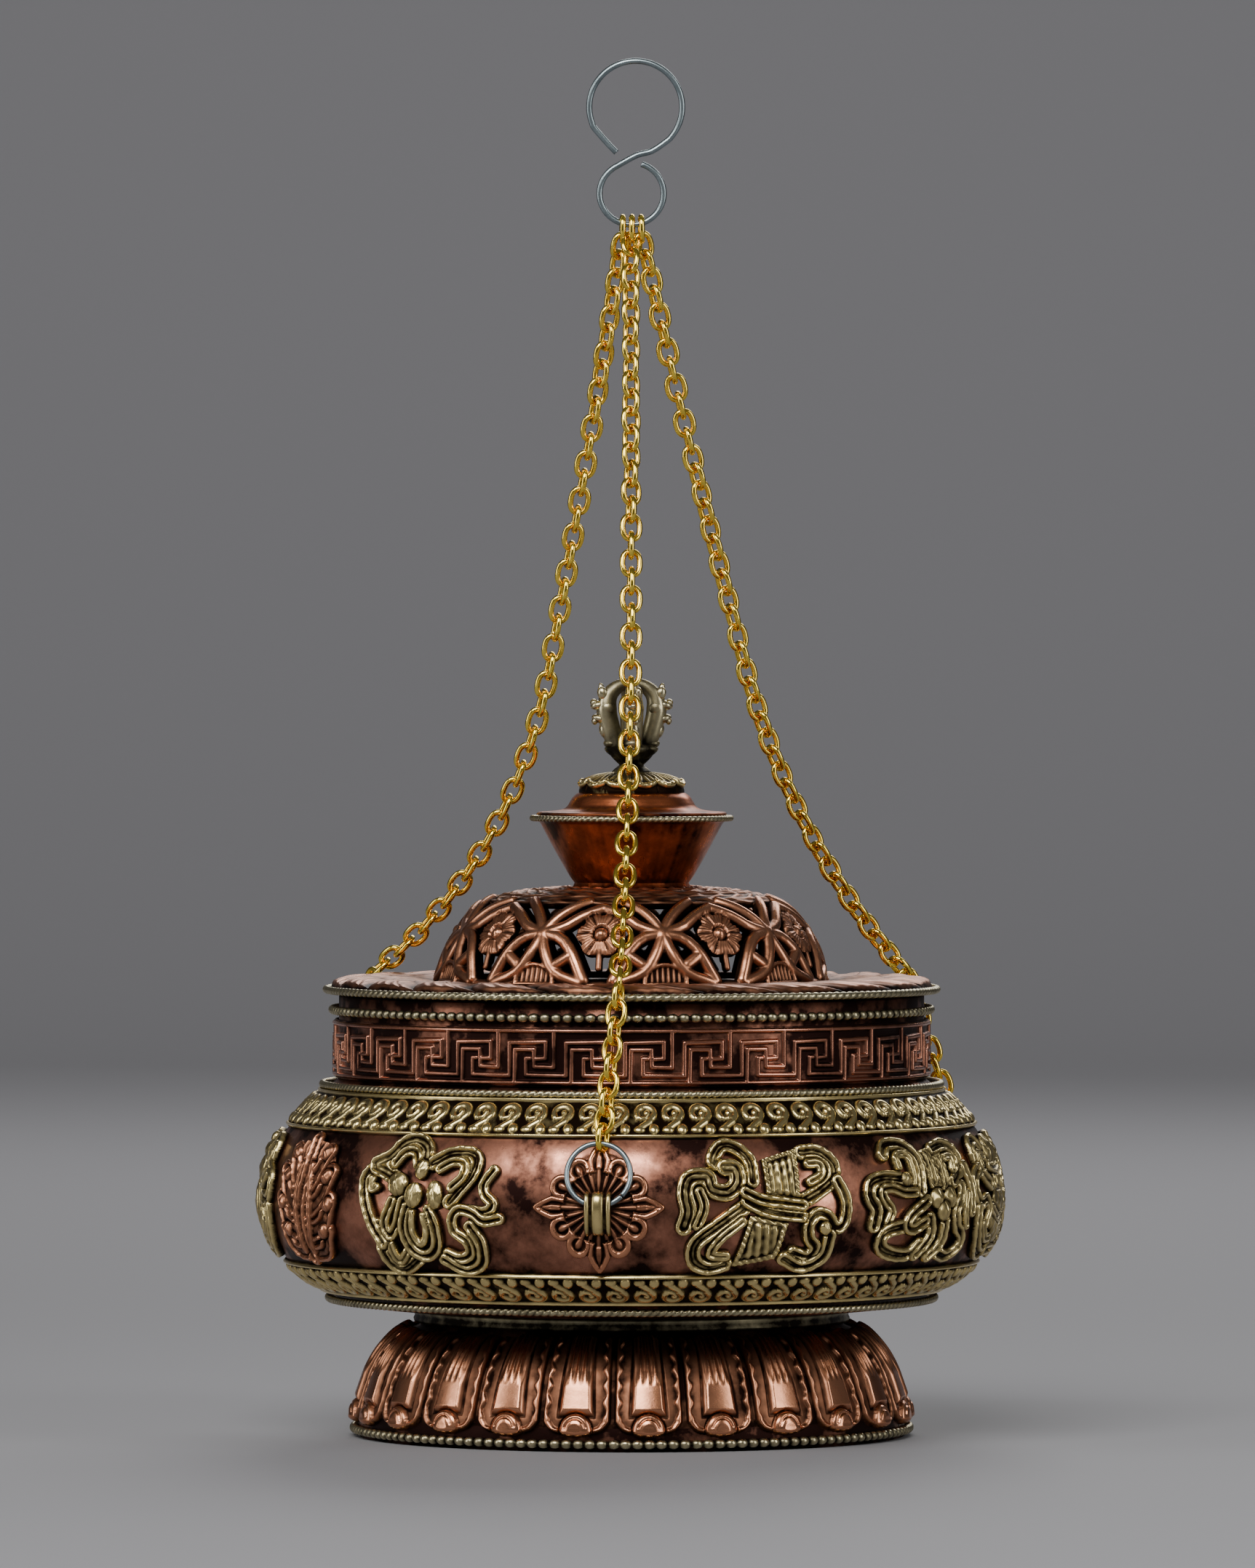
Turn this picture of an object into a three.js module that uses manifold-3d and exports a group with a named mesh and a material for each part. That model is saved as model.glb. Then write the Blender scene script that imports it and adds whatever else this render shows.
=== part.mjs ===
// Hanging incense burner (thurible): a copper bowl on a petal foot, a pierced lid with a smoke cup,
// and three link chains that meet in an S-shaped hook. Millimetres, +Z up, standing on z = 0.
// Azimuth 0 is the front, -Y; it grows towards +X.
import * as THREE from 'three';
import { mergeVertices } from 'three/addons/utils/BufferGeometryUtils.js';
import Module from 'manifold-3d';

const wasm = await Module();
wasm.setup();

// ---- Driving dimensions ----
const GAP = 0.3; // between pieces that touch
const SEAT = 0.6; // under a bent plate's corners, so that its flats stay clear of the bowl
const SIDES = 32; // of each turned piece
const HEIGHT = 335; // floor to the top of the hook
const STATIONS = { front: -5, right: 115, left: 235 }; // azimuths of the lugs and chains
const RING = { wire: 1.35, outer: 16.45 }; // steel suspension rings
const CHAIN_WIDTH = 4.6; // over the links
const LUG_PIVOT = { r: 91.8, z: 59.9 }; // the ring's wire inside its lug
const RIM_PIVOT = { r: 77.9, z: 111.2 }; // the chain's bend at the edge of the lid
const CHAIN_TOP = { r: 2.9, z: 291.5 };
const CHAIN_MIDDLE = {
  front: { r: 28.95, z: 196.59 }, right: { r: 28.95, z: 196.59 }, left: { r: 22.95, z: 194.09 },
};
const CHAIN_SAG = { front: 6.5, right: 6.5, left: 10.8 }; // of the lower half, which hangs in a curve
const HOOK_WIRE = 1.5;
const HOOK_UPPER = { x: 1, z: HEIGHT - 11.95, r: 11.2 }; // centre line of each loop
const HOOK_LOWER = { x: 0, z: 302, r: 7.55 };

// Outside of the copper bowl, from the edge of its flat base to its rim, as [radius, height].
const BOWL_WALL = [
  [60, 31.3], [66, 32], [70.8, 33.4], [74.4, 36], [80.3, 39], [83.9, 43.4], [87.6, 48.7], [89, 56],
  [88.7, 62.5], [86.9, 69], [83.4, 75], [77.7, 81.6], [71.8, 86.2], [71.2, 87], [71.2, 107.2],
];
const BOWL_INSIDE = [
  [70, 107.2], [70, 86.5], [76.4, 81], [82, 74.6], [87.4, 62.4], [87.7, 56], [86.3, 49], [82.7, 44],
  [73.4, 36.8], [65.6, 33.2], [60, 32.5],
];

const copper = { color: 0x9c6450, metalness: 1, roughness: 0.38 };
const redCopper = { color: 0x94482b, metalness: 1, roughness: 0.35 };
const brass = { color: 0xa39358, metalness: 1, roughness: 0.36 };
const darkBrass = { color: 0x6b6450, metalness: 1, roughness: 0.45 };
const gold = { color: 0xd9a521, metalness: 1, roughness: 0.2 };
const steel = { color: 0x7f8f92, metalness: 1, roughness: 0.32 };
const iron = { color: 0x3b3835, metalness: 1, roughness: 0.7 };

// ---- Helpers ----
const assembly = new THREE.Group();
const radians = THREE.MathUtils.degToRad;

/** Position-only copy with shared vertices merged, no zero-area triangles and its faces outwards. */
function closedBody(source) {
  const bare = source.index ? source.clone() : mergeVertices(source.clone());
  for (const name of Object.keys(bare.attributes)) {
    if (name !== 'position') bare.deleteAttribute(name);
  }
  const merged = mergeVertices(bare, 1e-4);
  const old = merged.index.array;
  const kept = [];
  for (let i = 0; i < old.length; i += 3) {
    const [a, b, c] = old.slice(i, i + 3);
    if (a !== b && b !== c && c !== a) kept.push(a, b, c);
  }
  const p = merged.attributes.position;
  const corner = (i) => new THREE.Vector3().fromBufferAttribute(p, i);
  let volume = 0;
  for (let i = 0; i < kept.length; i += 3) {
    volume += corner(kept[i]).dot(corner(kept[i + 1]).cross(corner(kept[i + 2])));
  }
  if (volume < 0) kept.reverse();
  merged.setIndex(kept);
  return merged;
}

function addPiece(name, geometry, finish, parent = assembly) {
  const body = closedBody(geometry);
  body.computeVertexNormals();
  const piece = new THREE.Mesh(body, new THREE.MeshStandardMaterial(finish));
  piece.name = name;
  parent.add(piece);
  return piece;
}

/** Turns a profile of [radius, height] points about Z. */
function turned(profile, sides = SIDES) {
  const points = profile.map(([r, z]) => new THREE.Vector2(r, z));
  return new THREE.LatheGeometry(points, sides).rotateX(Math.PI / 2);
}

/** Turns a profile that closes on itself, so the piece is a ring. */
const turnedRing = (profile, sides) => turned([...profile, profile[0]], sides);

/** A round wire lying in a circle about Z. */
function hoop(radius, z, wireRadius, sides = SIDES) {
  const wireSides = 5;
  const profile = Array.from({ length: wireSides }, (_, i) => {
    const angle = (2 * Math.PI * i) / wireSides;
    return [radius + wireRadius * Math.cos(angle), z + wireRadius * Math.sin(angle)];
  });
  return turnedRing(profile, sides);
}

/** The bowl wall's radius and outward slope at a height. */
function wallAt(z) {
  const above = Math.max(1, BOWL_WALL.findIndex(([, height]) => height >= z));
  const [[r0, z0], [r1, z1]] = [BOWL_WALL[above - 1], BOWL_WALL[above]];
  const normal = new THREE.Vector2(z1 - z0, r0 - r1).normalize();
  return { r: r0 + ((r1 - r0) * (z - z0)) / (z1 - z0), normal };
}

/** A sheet band that follows the bowl between two heights, from one offset to another. */
function wallBand(zLow, zHigh, inner, outer) {
  const inside = BOWL_WALL.map(([, z]) => z).filter((z) => z > zLow + 0.5 && z < zHigh - 0.5);
  const heights = [zLow, ...inside, zHigh];
  const face = (offset) => heights.map((z) => {
    const below = wallAt(z).normal;
    const above = wallAt(Math.min(z + 0.01, zHigh)).normal;
    const n = below.clone().add(above).normalize();
    return [wallAt(z).r + n.x * offset, z + n.y * offset];
  });
  return turnedRing([...face(outer), ...face(inner).reverse()]);
}

/** A plate bent to the bowl wall. outline(angle) is its half size in mm along that direction. */
function wallPlate(azimuth, zCentre, outline, inner, outer) {
  const spokes = 16;
  const rounds = 3;
  const positions = [];
  const index = [];
  for (const offset of [outer, inner]) {
    for (let k = 0; k <= rounds; k++) {
      for (let i = 0; i < spokes; i++) {
        const angle = (2 * Math.PI * i) / spokes;
        const reach = (outline(angle) * k) / rounds;
        const z = zCentre + reach * Math.sin(angle);
        const wall = wallAt(z);
        const r = wall.r + wall.normal.x * offset;
        const turn = radians(azimuth) + (reach * Math.cos(angle)) / wall.r;
        positions.push(r * Math.sin(turn), -r * Math.cos(turn), z + wall.normal.y * offset);
      }
    }
  }
  const at = (side, k, i) => (side * (rounds + 1) + k) * spokes + (i % spokes);
  const quad = (a, b, c, d) => index.push(a, b, c, a, c, d);
  for (let i = 0; i < spokes; i++) {
    for (let k = 0; k < rounds; k++) {
      quad(at(0, k, i), at(0, k + 1, i), at(0, k + 1, i + 1), at(0, k, i + 1));
      quad(at(1, k, i), at(1, k, i + 1), at(1, k + 1, i + 1), at(1, k + 1, i));
    }
    quad(at(0, rounds, i), at(1, rounds, i), at(1, rounds, i + 1), at(0, rounds, i + 1));
  }
  const plate = new THREE.BufferGeometry();
  plate.setAttribute('position', new THREE.Float32BufferAttribute(positions, 3));
  plate.setIndex(index);
  return plate;
}

/** A round bar of a given diameter along a curve, with eight sides. */
function bar(curve, diameter, steps) {
  const section = new THREE.Shape();
  const sides = 8;
  for (let i = 0; i < sides; i++) {
    const angle = (2 * Math.PI * i) / sides;
    const point = [(diameter / 2) * Math.cos(angle), (diameter / 2) * Math.sin(angle)];
    if (i === 0) section.moveTo(...point);
    else section.lineTo(...point);
  }
  section.closePath();
  return new THREE.ExtrudeGeometry(section, { steps, extrudePath: curve, bevelEnabled: false });
}

function toManifold(geometry) {
  const body = closedBody(geometry);
  return new wasm.Manifold(new wasm.Mesh({
    numProp: 3,
    vertProperties: new Float32Array(body.attributes.position.array),
    triVerts: new Uint32Array(body.index.array),
  }));
}

function fromManifold(manifold) {
  const mesh = manifold.getMesh();
  const geometry = new THREE.BufferGeometry();
  geometry.setAttribute('position', new THREE.Float32BufferAttribute(mesh.vertProperties, 3));
  geometry.setIndex(Array.from(mesh.triVerts));
  return geometry;
}

// ---- Foot ----
addPiece('foot_shell', turnedRing([
  [66, 0], [66.2, 6.9], [64, 12.6], [62.4, 16.8], [60.1, 21], [56, 25.3], [51.6, 27], [51.6, 31],
  [50.2, 31], [50.2, 26], [58.6, 20], [62.4, 12], [63.5, 0],
]), darkBrass);
addPiece('foot_bead_ring', hoop(67.6, 1.9, 1.1), darkBrass);
addPiece('neck_collar', turnedRing([[53, 27.7], [53, 31], [51.9, 31], [51.9, 27.7]]), darkBrass);

/** The copper skirt over the foot, its lower edge scalloped into 24 petal tips. */
function petalSkirt() {
  const petals = 24;
  const skirt = turnedRing([
    [67.2, 7.6], [65.6, 12.6], [64.2, 16.8], [61.8, 21], [58, 25.3], [54.3, 27.4],
    [53.4, 27.1], [57, 25.2], [60.9, 20.9], [63.2, 16.7], [64.7, 12.6], [66.6, 7.3],
  ], petals * 2);
  const p = skirt.attributes.position;
  for (let i = 0; i < p.count; i++) {
    const azimuth = Math.atan2(p.getX(i), -p.getY(i));
    const tip = Math.cos(azimuth * petals) > 0;
    if (p.getZ(i) < 8 && !tip) p.setZ(i, p.getZ(i) + 1.4);
  }
  return skirt;
}
addPiece('petal_skirt', petalSkirt(), copper);

// ---- Bowl and its bands ----
addPiece('bowl_shell', turned([[0, 31.3], ...BOWL_WALL, ...BOWL_INSIDE, [0, 32.5]]), copper);
addPiece('lower_rope_ring', hoop(73.7, 33.6, 1), darkBrass);
addPiece('lower_scroll_band', wallBand(36.3, 43.3, GAP, 1.1), brass);
addPiece('upper_scroll_band', wallBand(75.3, 83.8, GAP, 1.1), brass);
addPiece('upper_rope_ring', hoop(75.1, 85.5, 1), darkBrass);
addPiece('key_band', turnedRing([[71.5, 87.2], [72.9, 87.2], [72.9, 101.4], [71.5, 101.4]]), copper);
addPiece('rim_bead_ring', hoop(72.7, 103.6, 1.1), darkBrass);

// ---- Applied ornaments on the bowl ----
const lobed = (halfWidth, halfHeight, lobes, depth) => (angle) => {
  const oval = 1 / Math.hypot(Math.cos(angle) / halfWidth, Math.sin(angle) / halfHeight);
  return oval * (1 - depth * (0.5 - 0.5 * Math.cos(lobes * angle)));
};
const ORNAMENT_Z = 59.3;
const SYMBOLS = {
  symbol_parasol: { azimuth: -33, half: [17.5, 14.6], lobes: 4 },
  symbol_conch: { azimuth: -88, half: [16.5, 14.6], lobes: 4 },
  symbol_banner: { azimuth: 21, half: [18.5, 14.6], lobes: 4 },
  symbol_fishes: { azimuth: 52, half: [17.5, 14.6], lobes: 2 },
  symbol_vase: { azimuth: 79, half: [16.5, 14.6], lobes: 4 },
  symbol_knot: { azimuth: 143, half: [17, 14.6], lobes: 4 },
  symbol_wheel: { azimuth: 173, half: [16, 14.6], lobes: 8 },
  symbol_lotus: { azimuth: 203, half: [17, 14.6], lobes: 2 },
};
for (const [name, { azimuth, half, lobes }] of Object.entries(SYMBOLS)) {
  addPiece(name, wallPlate(azimuth, ORNAMENT_Z, lobed(...half, lobes, 0.14), SEAT, 1.9), brass);
}
addPiece('leaf_plaque', wallPlate(-61, ORNAMENT_Z, lobed(14.5, 14.6, 8, 0.12), SEAT, 1.9), copper);

// ---- Bowl fittings for the chains ----
const quatrefoil = (angle) => 15.2 - 3.4 * (0.5 - 0.5 * Math.cos(4 * angle));

/** A brass staple whose open tunnel holds the ring; it is drawn in the outward-up plane. */
function lugStaple() {
  const width = 6.4;
  const tunnel = 1.75;
  const { r, z } = LUG_PIVOT;
  const outline = new THREE.Shape();
  outline.moveTo(89.95, 52.6);
  outline.lineTo(91.4, 52.6);
  outline.lineTo(r + tunnel + 0.9, 56.6);
  outline.lineTo(r + tunnel + 0.9, z + 1.4);
  outline.lineTo(92.8, z + 3.1);
  outline.lineTo(90.4, z + 3.1);
  outline.lineTo(90.4, z + 1.1);
  for (let degrees = 140; degrees >= -140; degrees -= 40) {
    const a = radians(degrees);
    outline.lineTo(r + tunnel * Math.cos(a), z + tunnel * Math.sin(a));
  }
  outline.lineTo(90.4, z - 1.1);
  outline.closePath();
  const staple = new THREE.ExtrudeGeometry(outline, { depth: width, bevelEnabled: false });
  const place = new THREE.Matrix4().makeBasis(
    new THREE.Vector3(0, -1, 0), new THREE.Vector3(0, 0, 1), new THREE.Vector3(-1, 0, 0),
  );
  return staple.applyMatrix4(place.setPosition(width / 2, 0, 0));
}

// ---- Fire pan, a loose liner for the charcoal ----
addPiece('fire_pan', turned([
  [0, 32.8], [38, 32.8], [50, 40], [60, 56], [63, 72], [63, 74],
  [61.9, 74], [61.9, 72], [59, 56.6], [49.2, 41], [37.6, 33.9], [0, 33.9],
]), iron);

// ---- Lid ----
addPiece('lid_flange', turnedRing([
  [69.5, 103.6], [69.5, 107.5], [73.1, 107.5], [73.1, 109.2], [70, 109.7], [58, 110.2], [46, 109.8],
  [46, 108.6], [68.2, 108.4], [68.2, 103.6],
]), copper);
addPiece('flange_rope_ring', hoop(74.3, 108.5, 0.9), darkBrass);

/** The dome's sheet, cut through by a row of large and a row of small openings. */
function piercedDome() {
  const pairs = 9;
  let dome = toManifold(turnedRing([
    [47.3, 110.2], [46.6, 113], [44.6, 119], [40, 126], [35, 130], [27, 132.1], [9, 132.8],
    [9, 131.6], [26.5, 130.9], [34.2, 128.9], [39, 125.2], [43.4, 118.6], [45.6, 112.5], [46, 110.2],
  ]));
  const rows = [
    { z: 116, width: 8, height: 4.6, shift: 0 },
    { z: 116, width: 8, height: 4.6, shift: 20 },
    { z: 124.5, width: 5.2, height: 3.6, shift: 10 },
  ];
  for (const { z, width, height, shift } of rows) {
    for (let i = 0; i < pairs; i++) {
      const cutter = new THREE.BoxGeometry(width, 24, height);
      cutter.translate(0, -42, z).rotateZ(radians(shift + (360 / pairs) * i));
      dome = dome.subtract(toManifold(cutter));
    }
  }
  return fromManifold(dome);
}
addPiece('lid_dome', piercedDome(), copper);

const CUP_SIDES = 20;
addPiece('smoke_cup', turnedRing([
  [13.8, 133.1], [15.2, 136], [18.4, 142], [22, 149], [23, 149.6], [23, 150.4],
  [21.8, 150.4], [21, 149.6], [17.3, 142.2], [13.8, 135.8], [12.5, 133.1],
], CUP_SIDES), redCopper);
addPiece('cup_rope_ring', hoop(24.1, 150.1, 0.75, CUP_SIDES), darkBrass);
addPiece('cup_cap', turnedRing([
  [23, 150.8], [23, 151.6], [18, 152.1], [14.9, 153.2], [12.4, 155], [11.4, 156.2], [2.6, 156.2],
  [2.6, 155], [10.6, 155], [14, 152.2], [18, 151.1], [21.5, 150.8],
], CUP_SIDES), copper);
addPiece('petal_collar', turnedRing([
  [11.2, 156.5], [12, 157.4], [11, 159.4], [6, 160.5], [2.6, 160.5], [2.6, 156.5],
], CUP_SIDES), brass);
addPiece('finial', turned([
  [0, 151.2], [2.2, 151.2], [2.2, 160.8], [4.2, 160.8], [4.6, 161.6], [2.8, 163.4], [5.2, 165.6],
  [5.7, 167], [5.2, 168.3], [6.2, 169.6], [9.6, 173], [9.6, 175.5], [7.5, 179], [4, 182],
  [1.6, 184], [0, 184],
], 16), brass);
addPiece('finial_nut', turnedRing([[3, 151.9], [5, 151.9], [5, 154.6], [3, 154.6]], 6), brass);

// ---- Rings and chains: each station is drawn at the front and turned to its azimuth ----
/** A point on a station's plane, where radius is outwards and height is up. */
const onStation = (r, z) => new THREE.Vector3(0, -r, z);
const lugPivot = onStation(LUG_PIVOT.r, LUG_PIVOT.z);
const rimPivot = onStation(RIM_PIVOT.r, RIM_PIVOT.z);
const pull = rimPivot.clone().sub(lugPivot).normalize(); // from the lug to the edge of the lid
const ringRadius = (RING.outer - RING.wire) / 2;
const ringTop = lugPivot.clone().addScaledVector(pull, 2 * ringRadius);
const BEND_ROOM = 3.5; // from a bend to the end of a run
const MIDDLE_ROOM = 0.6;
const STRAIGHT_SAG = 0.6; // of the upper half

function suspensionRing() {
  const across = new THREE.Vector3(1, 0, 0);
  const ring = new THREE.TorusGeometry(ringRadius, RING.wire / 2, 6, 24);
  const place = new THREE.Matrix4().makeBasis(across, pull, across.clone().cross(pull));
  place.setPosition(lugPivot.clone().addScaledVector(pull, ringRadius));
  return ring.applyMatrix4(place);
}

function lowerRun() {
  const start = ringTop.clone().addScaledVector(pull, RING.wire / 2 + GAP + 0.15);
  const end = rimPivot.clone().addScaledVector(pull, -BEND_ROOM);
  return bar(new THREE.LineCurve3(start, end), CHAIN_WIDTH, 3);
}

/** Half of the slack run: it hangs in a curve from the lid's edge to its middle, then nearly straight to the hook. */
function upperRun(side, fromMiddle) {
  const middle = onStation(CHAIN_MIDDLE[side].r, CHAIN_MIDDLE[side].z);
  const ends = fromMiddle ? [middle, onStation(CHAIN_TOP.r, CHAIN_TOP.z)] : [rimPivot, middle];
  const chord = ends[1].clone().sub(ends[0]);
  const droop = new THREE.Vector3(0, chord.z, -chord.y).normalize();
  const sag = fromMiddle ? STRAIGHT_SAG : CHAIN_SAG[side];
  const control = ends[0].clone().lerp(ends[1], 0.5).addScaledVector(droop, 2 * sag);
  const half = new THREE.QuadraticBezierCurve3(ends[0], control, ends[1]);
  const length = half.getLength();
  const first = (fromMiddle ? MIDDLE_ROOM : BEND_ROOM) / length;
  const last = 1 - (fromMiddle ? 0 : MIDDLE_ROOM / length);
  const steps = 10;
  const points = Array.from({ length: steps + 1 }, (_, i) => {
    return half.getPointAt(first + ((last - first) * i) / steps);
  });
  return bar(new THREE.CatmullRomCurve3(points), CHAIN_WIDTH, steps);
}

for (const [side, azimuth] of Object.entries(STATIONS)) {
  addPiece(`rosette_${side}`, wallPlate(azimuth, 59, quatrefoil, SEAT, 1.1), copper);
  const station = new THREE.Group();
  station.rotation.z = radians(azimuth);
  assembly.add(station);
  addPiece(`lug_${side}`, lugStaple(), brass, station);
  addPiece(`ring_${side}`, suspensionRing(), steel, station);
  addPiece(`chain_${side}_lower`, lowerRun(), gold, station);
  addPiece(`chain_${side}_middle`, upperRun(side, false), gold, station);
  addPiece(`chain_${side}_top`, upperRun(side, true), gold, station);
}

// ---- Hook: an S of wire, one loop for the chains and a wider one to hang it by ----
function hookCurve() {
  const arc = ({ x, z, r }, fromDegrees, toDegrees, steps) => {
    return Array.from({ length: steps + 1 }, (_, i) => {
      const a = radians(fromDegrees + ((toDegrees - fromDegrees) * i) / steps);
      return new THREE.Vector3(x + r * Math.cos(a), 0, z + r * Math.sin(a));
    });
  };
  const tail = new THREE.Vector3(-3.9, 0, 311.9);
  const points = [tail, ...arc(HOOK_UPPER, 215, -50, 14), ...arc(HOOK_LOWER, 130, 430, 13)];
  return new THREE.CatmullRomCurve3(points);
}
addPiece('hook', bar(hookCurve(), HOOK_WIRE, 50), steel);

export default assembly;
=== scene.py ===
# %% [markdown]
# # A hanging incense burner in copper and brass
# The real burner is beaten and chased by hand: a copper bowl, soldered brass bands and ornaments,
# a pierced lid and three gold-plated chains. The frame loaded here gives every piece's place and
# the bodies that move. Every plain solid that can be seen is then replaced by a detailed mesh, which
# rides on the same body.

# %% Load the frame
import math

import bpy
import numpy as np
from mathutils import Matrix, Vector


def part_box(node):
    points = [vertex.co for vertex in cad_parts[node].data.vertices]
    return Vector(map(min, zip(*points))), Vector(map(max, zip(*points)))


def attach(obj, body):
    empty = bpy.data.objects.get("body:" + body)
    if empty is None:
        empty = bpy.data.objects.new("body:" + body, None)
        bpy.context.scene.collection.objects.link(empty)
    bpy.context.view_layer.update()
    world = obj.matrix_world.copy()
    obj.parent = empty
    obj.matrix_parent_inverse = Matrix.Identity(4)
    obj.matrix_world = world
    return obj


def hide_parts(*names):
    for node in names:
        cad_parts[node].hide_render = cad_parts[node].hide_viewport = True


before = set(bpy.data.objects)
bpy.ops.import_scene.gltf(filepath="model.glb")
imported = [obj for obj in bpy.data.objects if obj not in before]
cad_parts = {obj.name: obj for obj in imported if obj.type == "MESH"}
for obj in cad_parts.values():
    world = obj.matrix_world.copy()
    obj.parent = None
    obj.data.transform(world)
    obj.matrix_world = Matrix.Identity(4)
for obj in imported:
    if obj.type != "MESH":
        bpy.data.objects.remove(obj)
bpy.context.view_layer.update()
MM = 0.001


# %% [markdown]
# ## Camera, floor and light
# A long lens from three metres flattens the perspective, as in a shop's product picture. The light
# is a wide soft box above the front, a second one at each side and a dim grey room, so that the
# polished metal has bright bands to reflect and dark gaps between them.

# %% Camera
LOOK_DISTANCE = 3.0
EYE_HEIGHT = 0.1945
AIM_HEIGHT = 0.1584
FRAME_HEIGHT = 0.3816  # seen at the burner's axis
SENSOR = 36.0

camera_data = bpy.data.cameras.new("camera")
camera_data.sensor_width = SENSOR
camera_data.lens = SENSOR * LOOK_DISTANCE / FRAME_HEIGHT
camera = bpy.data.objects.new("camera", camera_data)
bpy.context.collection.objects.link(camera)
camera.location = (-0.001, -LOOK_DISTANCE, EYE_HEIGHT)
tilt = math.atan((EYE_HEIGHT - AIM_HEIGHT) / LOOK_DISTANCE)
camera.rotation_euler = (math.radians(90) - tilt, 0, 0)
camera_data.clip_end = 30
bpy.context.scene.camera = camera
print("lens", round(camera_data.lens, 1), "mm")


# %% Colour and node helpers
def srgb(code):
    """A hex colour as linear red, green, blue and alpha."""
    parts = [int(code[i : i + 2], 16) / 255 for i in (1, 3, 5)]
    return [p / 12.92 if p <= 0.04045 else ((p + 0.055) / 1.055) ** 2.4 for p in parts] + [1]


def add_node(tree, kind, inputs=None, **settings):
    """Adds a node. inputs maps a socket's name or number to a value or to another node's output."""
    made = tree.nodes.new(kind)
    for key, value in settings.items():
        setattr(made, key, value)
    for key, value in (inputs or {}).items():
        if isinstance(value, bpy.types.NodeSocket):
            tree.links.new(value, made.inputs[key])
        else:
            made.inputs[key].default_value = value
    return made


def new_material(name):
    """An empty node material and its tree."""
    material = bpy.data.materials.new(name)
    material.use_nodes = True
    material.node_tree.nodes.clear()
    return material, material.node_tree


# %% Floor and lights
floor_material, tree = new_material("pale_studio_paper")
paper = add_node(tree, "ShaderNodeBsdfPrincipled", {"Base Color": srgb("#858487"), "Roughness": 0.7})
add_node(tree, "ShaderNodeOutputMaterial", {"Surface": paper.outputs[0]})

# one sheet of paper: flat underfoot, then curving up behind, so there is no horizon
SWEEP_BACK, SWEEP_CURVE, SWEEP_TOP, SWEEP_FRONT, SWEEP_HALF = 2.6, 1.6, 6.0, -7.0, 7.0
bend = np.linspace(0, math.pi / 2, 33)
side_view = [(SWEEP_FRONT, 0.0)]
side_view += [(SWEEP_BACK + SWEEP_CURVE * math.sin(t), SWEEP_CURVE * (1 - math.cos(t))) for t in bend]
side_view += [(SWEEP_BACK + SWEEP_CURVE, SWEEP_TOP)]
sheet_points = [(x, y, z) for y, z in side_view for x in (-SWEEP_HALF, SWEEP_HALF)]
sheet_faces = [(2 * k, 2 * k + 1, 2 * k + 3, 2 * k + 2) for k in range(len(side_view) - 1)]
paper_mesh = bpy.data.meshes.new("studio_sweep")
paper_mesh.from_pydata(sheet_points, [], sheet_faces)
paper_mesh.polygons.foreach_set("use_smooth", [True] * len(sheet_faces))
paper_mesh.materials.append(floor_material)
floor = bpy.data.objects.new("studio_sweep", paper_mesh)
bpy.context.collection.objects.link(floor)

world = bpy.data.worlds.new("studio")
bpy.context.scene.world = world
world.use_nodes = True
world.node_tree.nodes["Background"].inputs["Color"].default_value = srgb("#8d8d8e")
world.node_tree.nodes["Background"].inputs["Strength"].default_value = 0.42


def soft_box(name, place, aim, width, height, watts):
    """A rectangular area light at a place, aimed at a point."""
    data = bpy.data.lights.new(name, "AREA")
    data.shape = "RECTANGLE"
    data.size, data.size_y, data.energy = width, height, watts
    light = bpy.data.objects.new(name, data)
    bpy.context.collection.objects.link(light)
    light.location = place
    way = np.array(aim) - np.array(place)
    flat = math.hypot(way[0], way[1])
    light.rotation_euler = (math.atan2(flat, -way[2]), 0, math.atan2(way[1], way[0]) - math.pi / 2)
    return light


BURNER_MIDDLE = (0, 0, 0.12)
soft_box("key_box", (-0.5, -1.5, 1.5), BURNER_MIDDLE, 1.5, 0.9, 42)
soft_box("left_box", (-1.6, -0.5, 0.6), BURNER_MIDDLE, 0.6, 1.4, 9)
soft_box("right_box", (1.5, -0.9, 0.7), BURNER_MIDDLE, 0.6, 1.4, 11)
soft_box("back_box", (0.4, 1.6, 1.2), BURNER_MIDDLE, 1.4, 0.8, 14)
soft_box("paper_box", (0, 1.2, 2.6), (0, 3.7, 0.5), 3.0, 0.6, 26).data.spread = math.radians(130)
print("lights ready")
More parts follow.
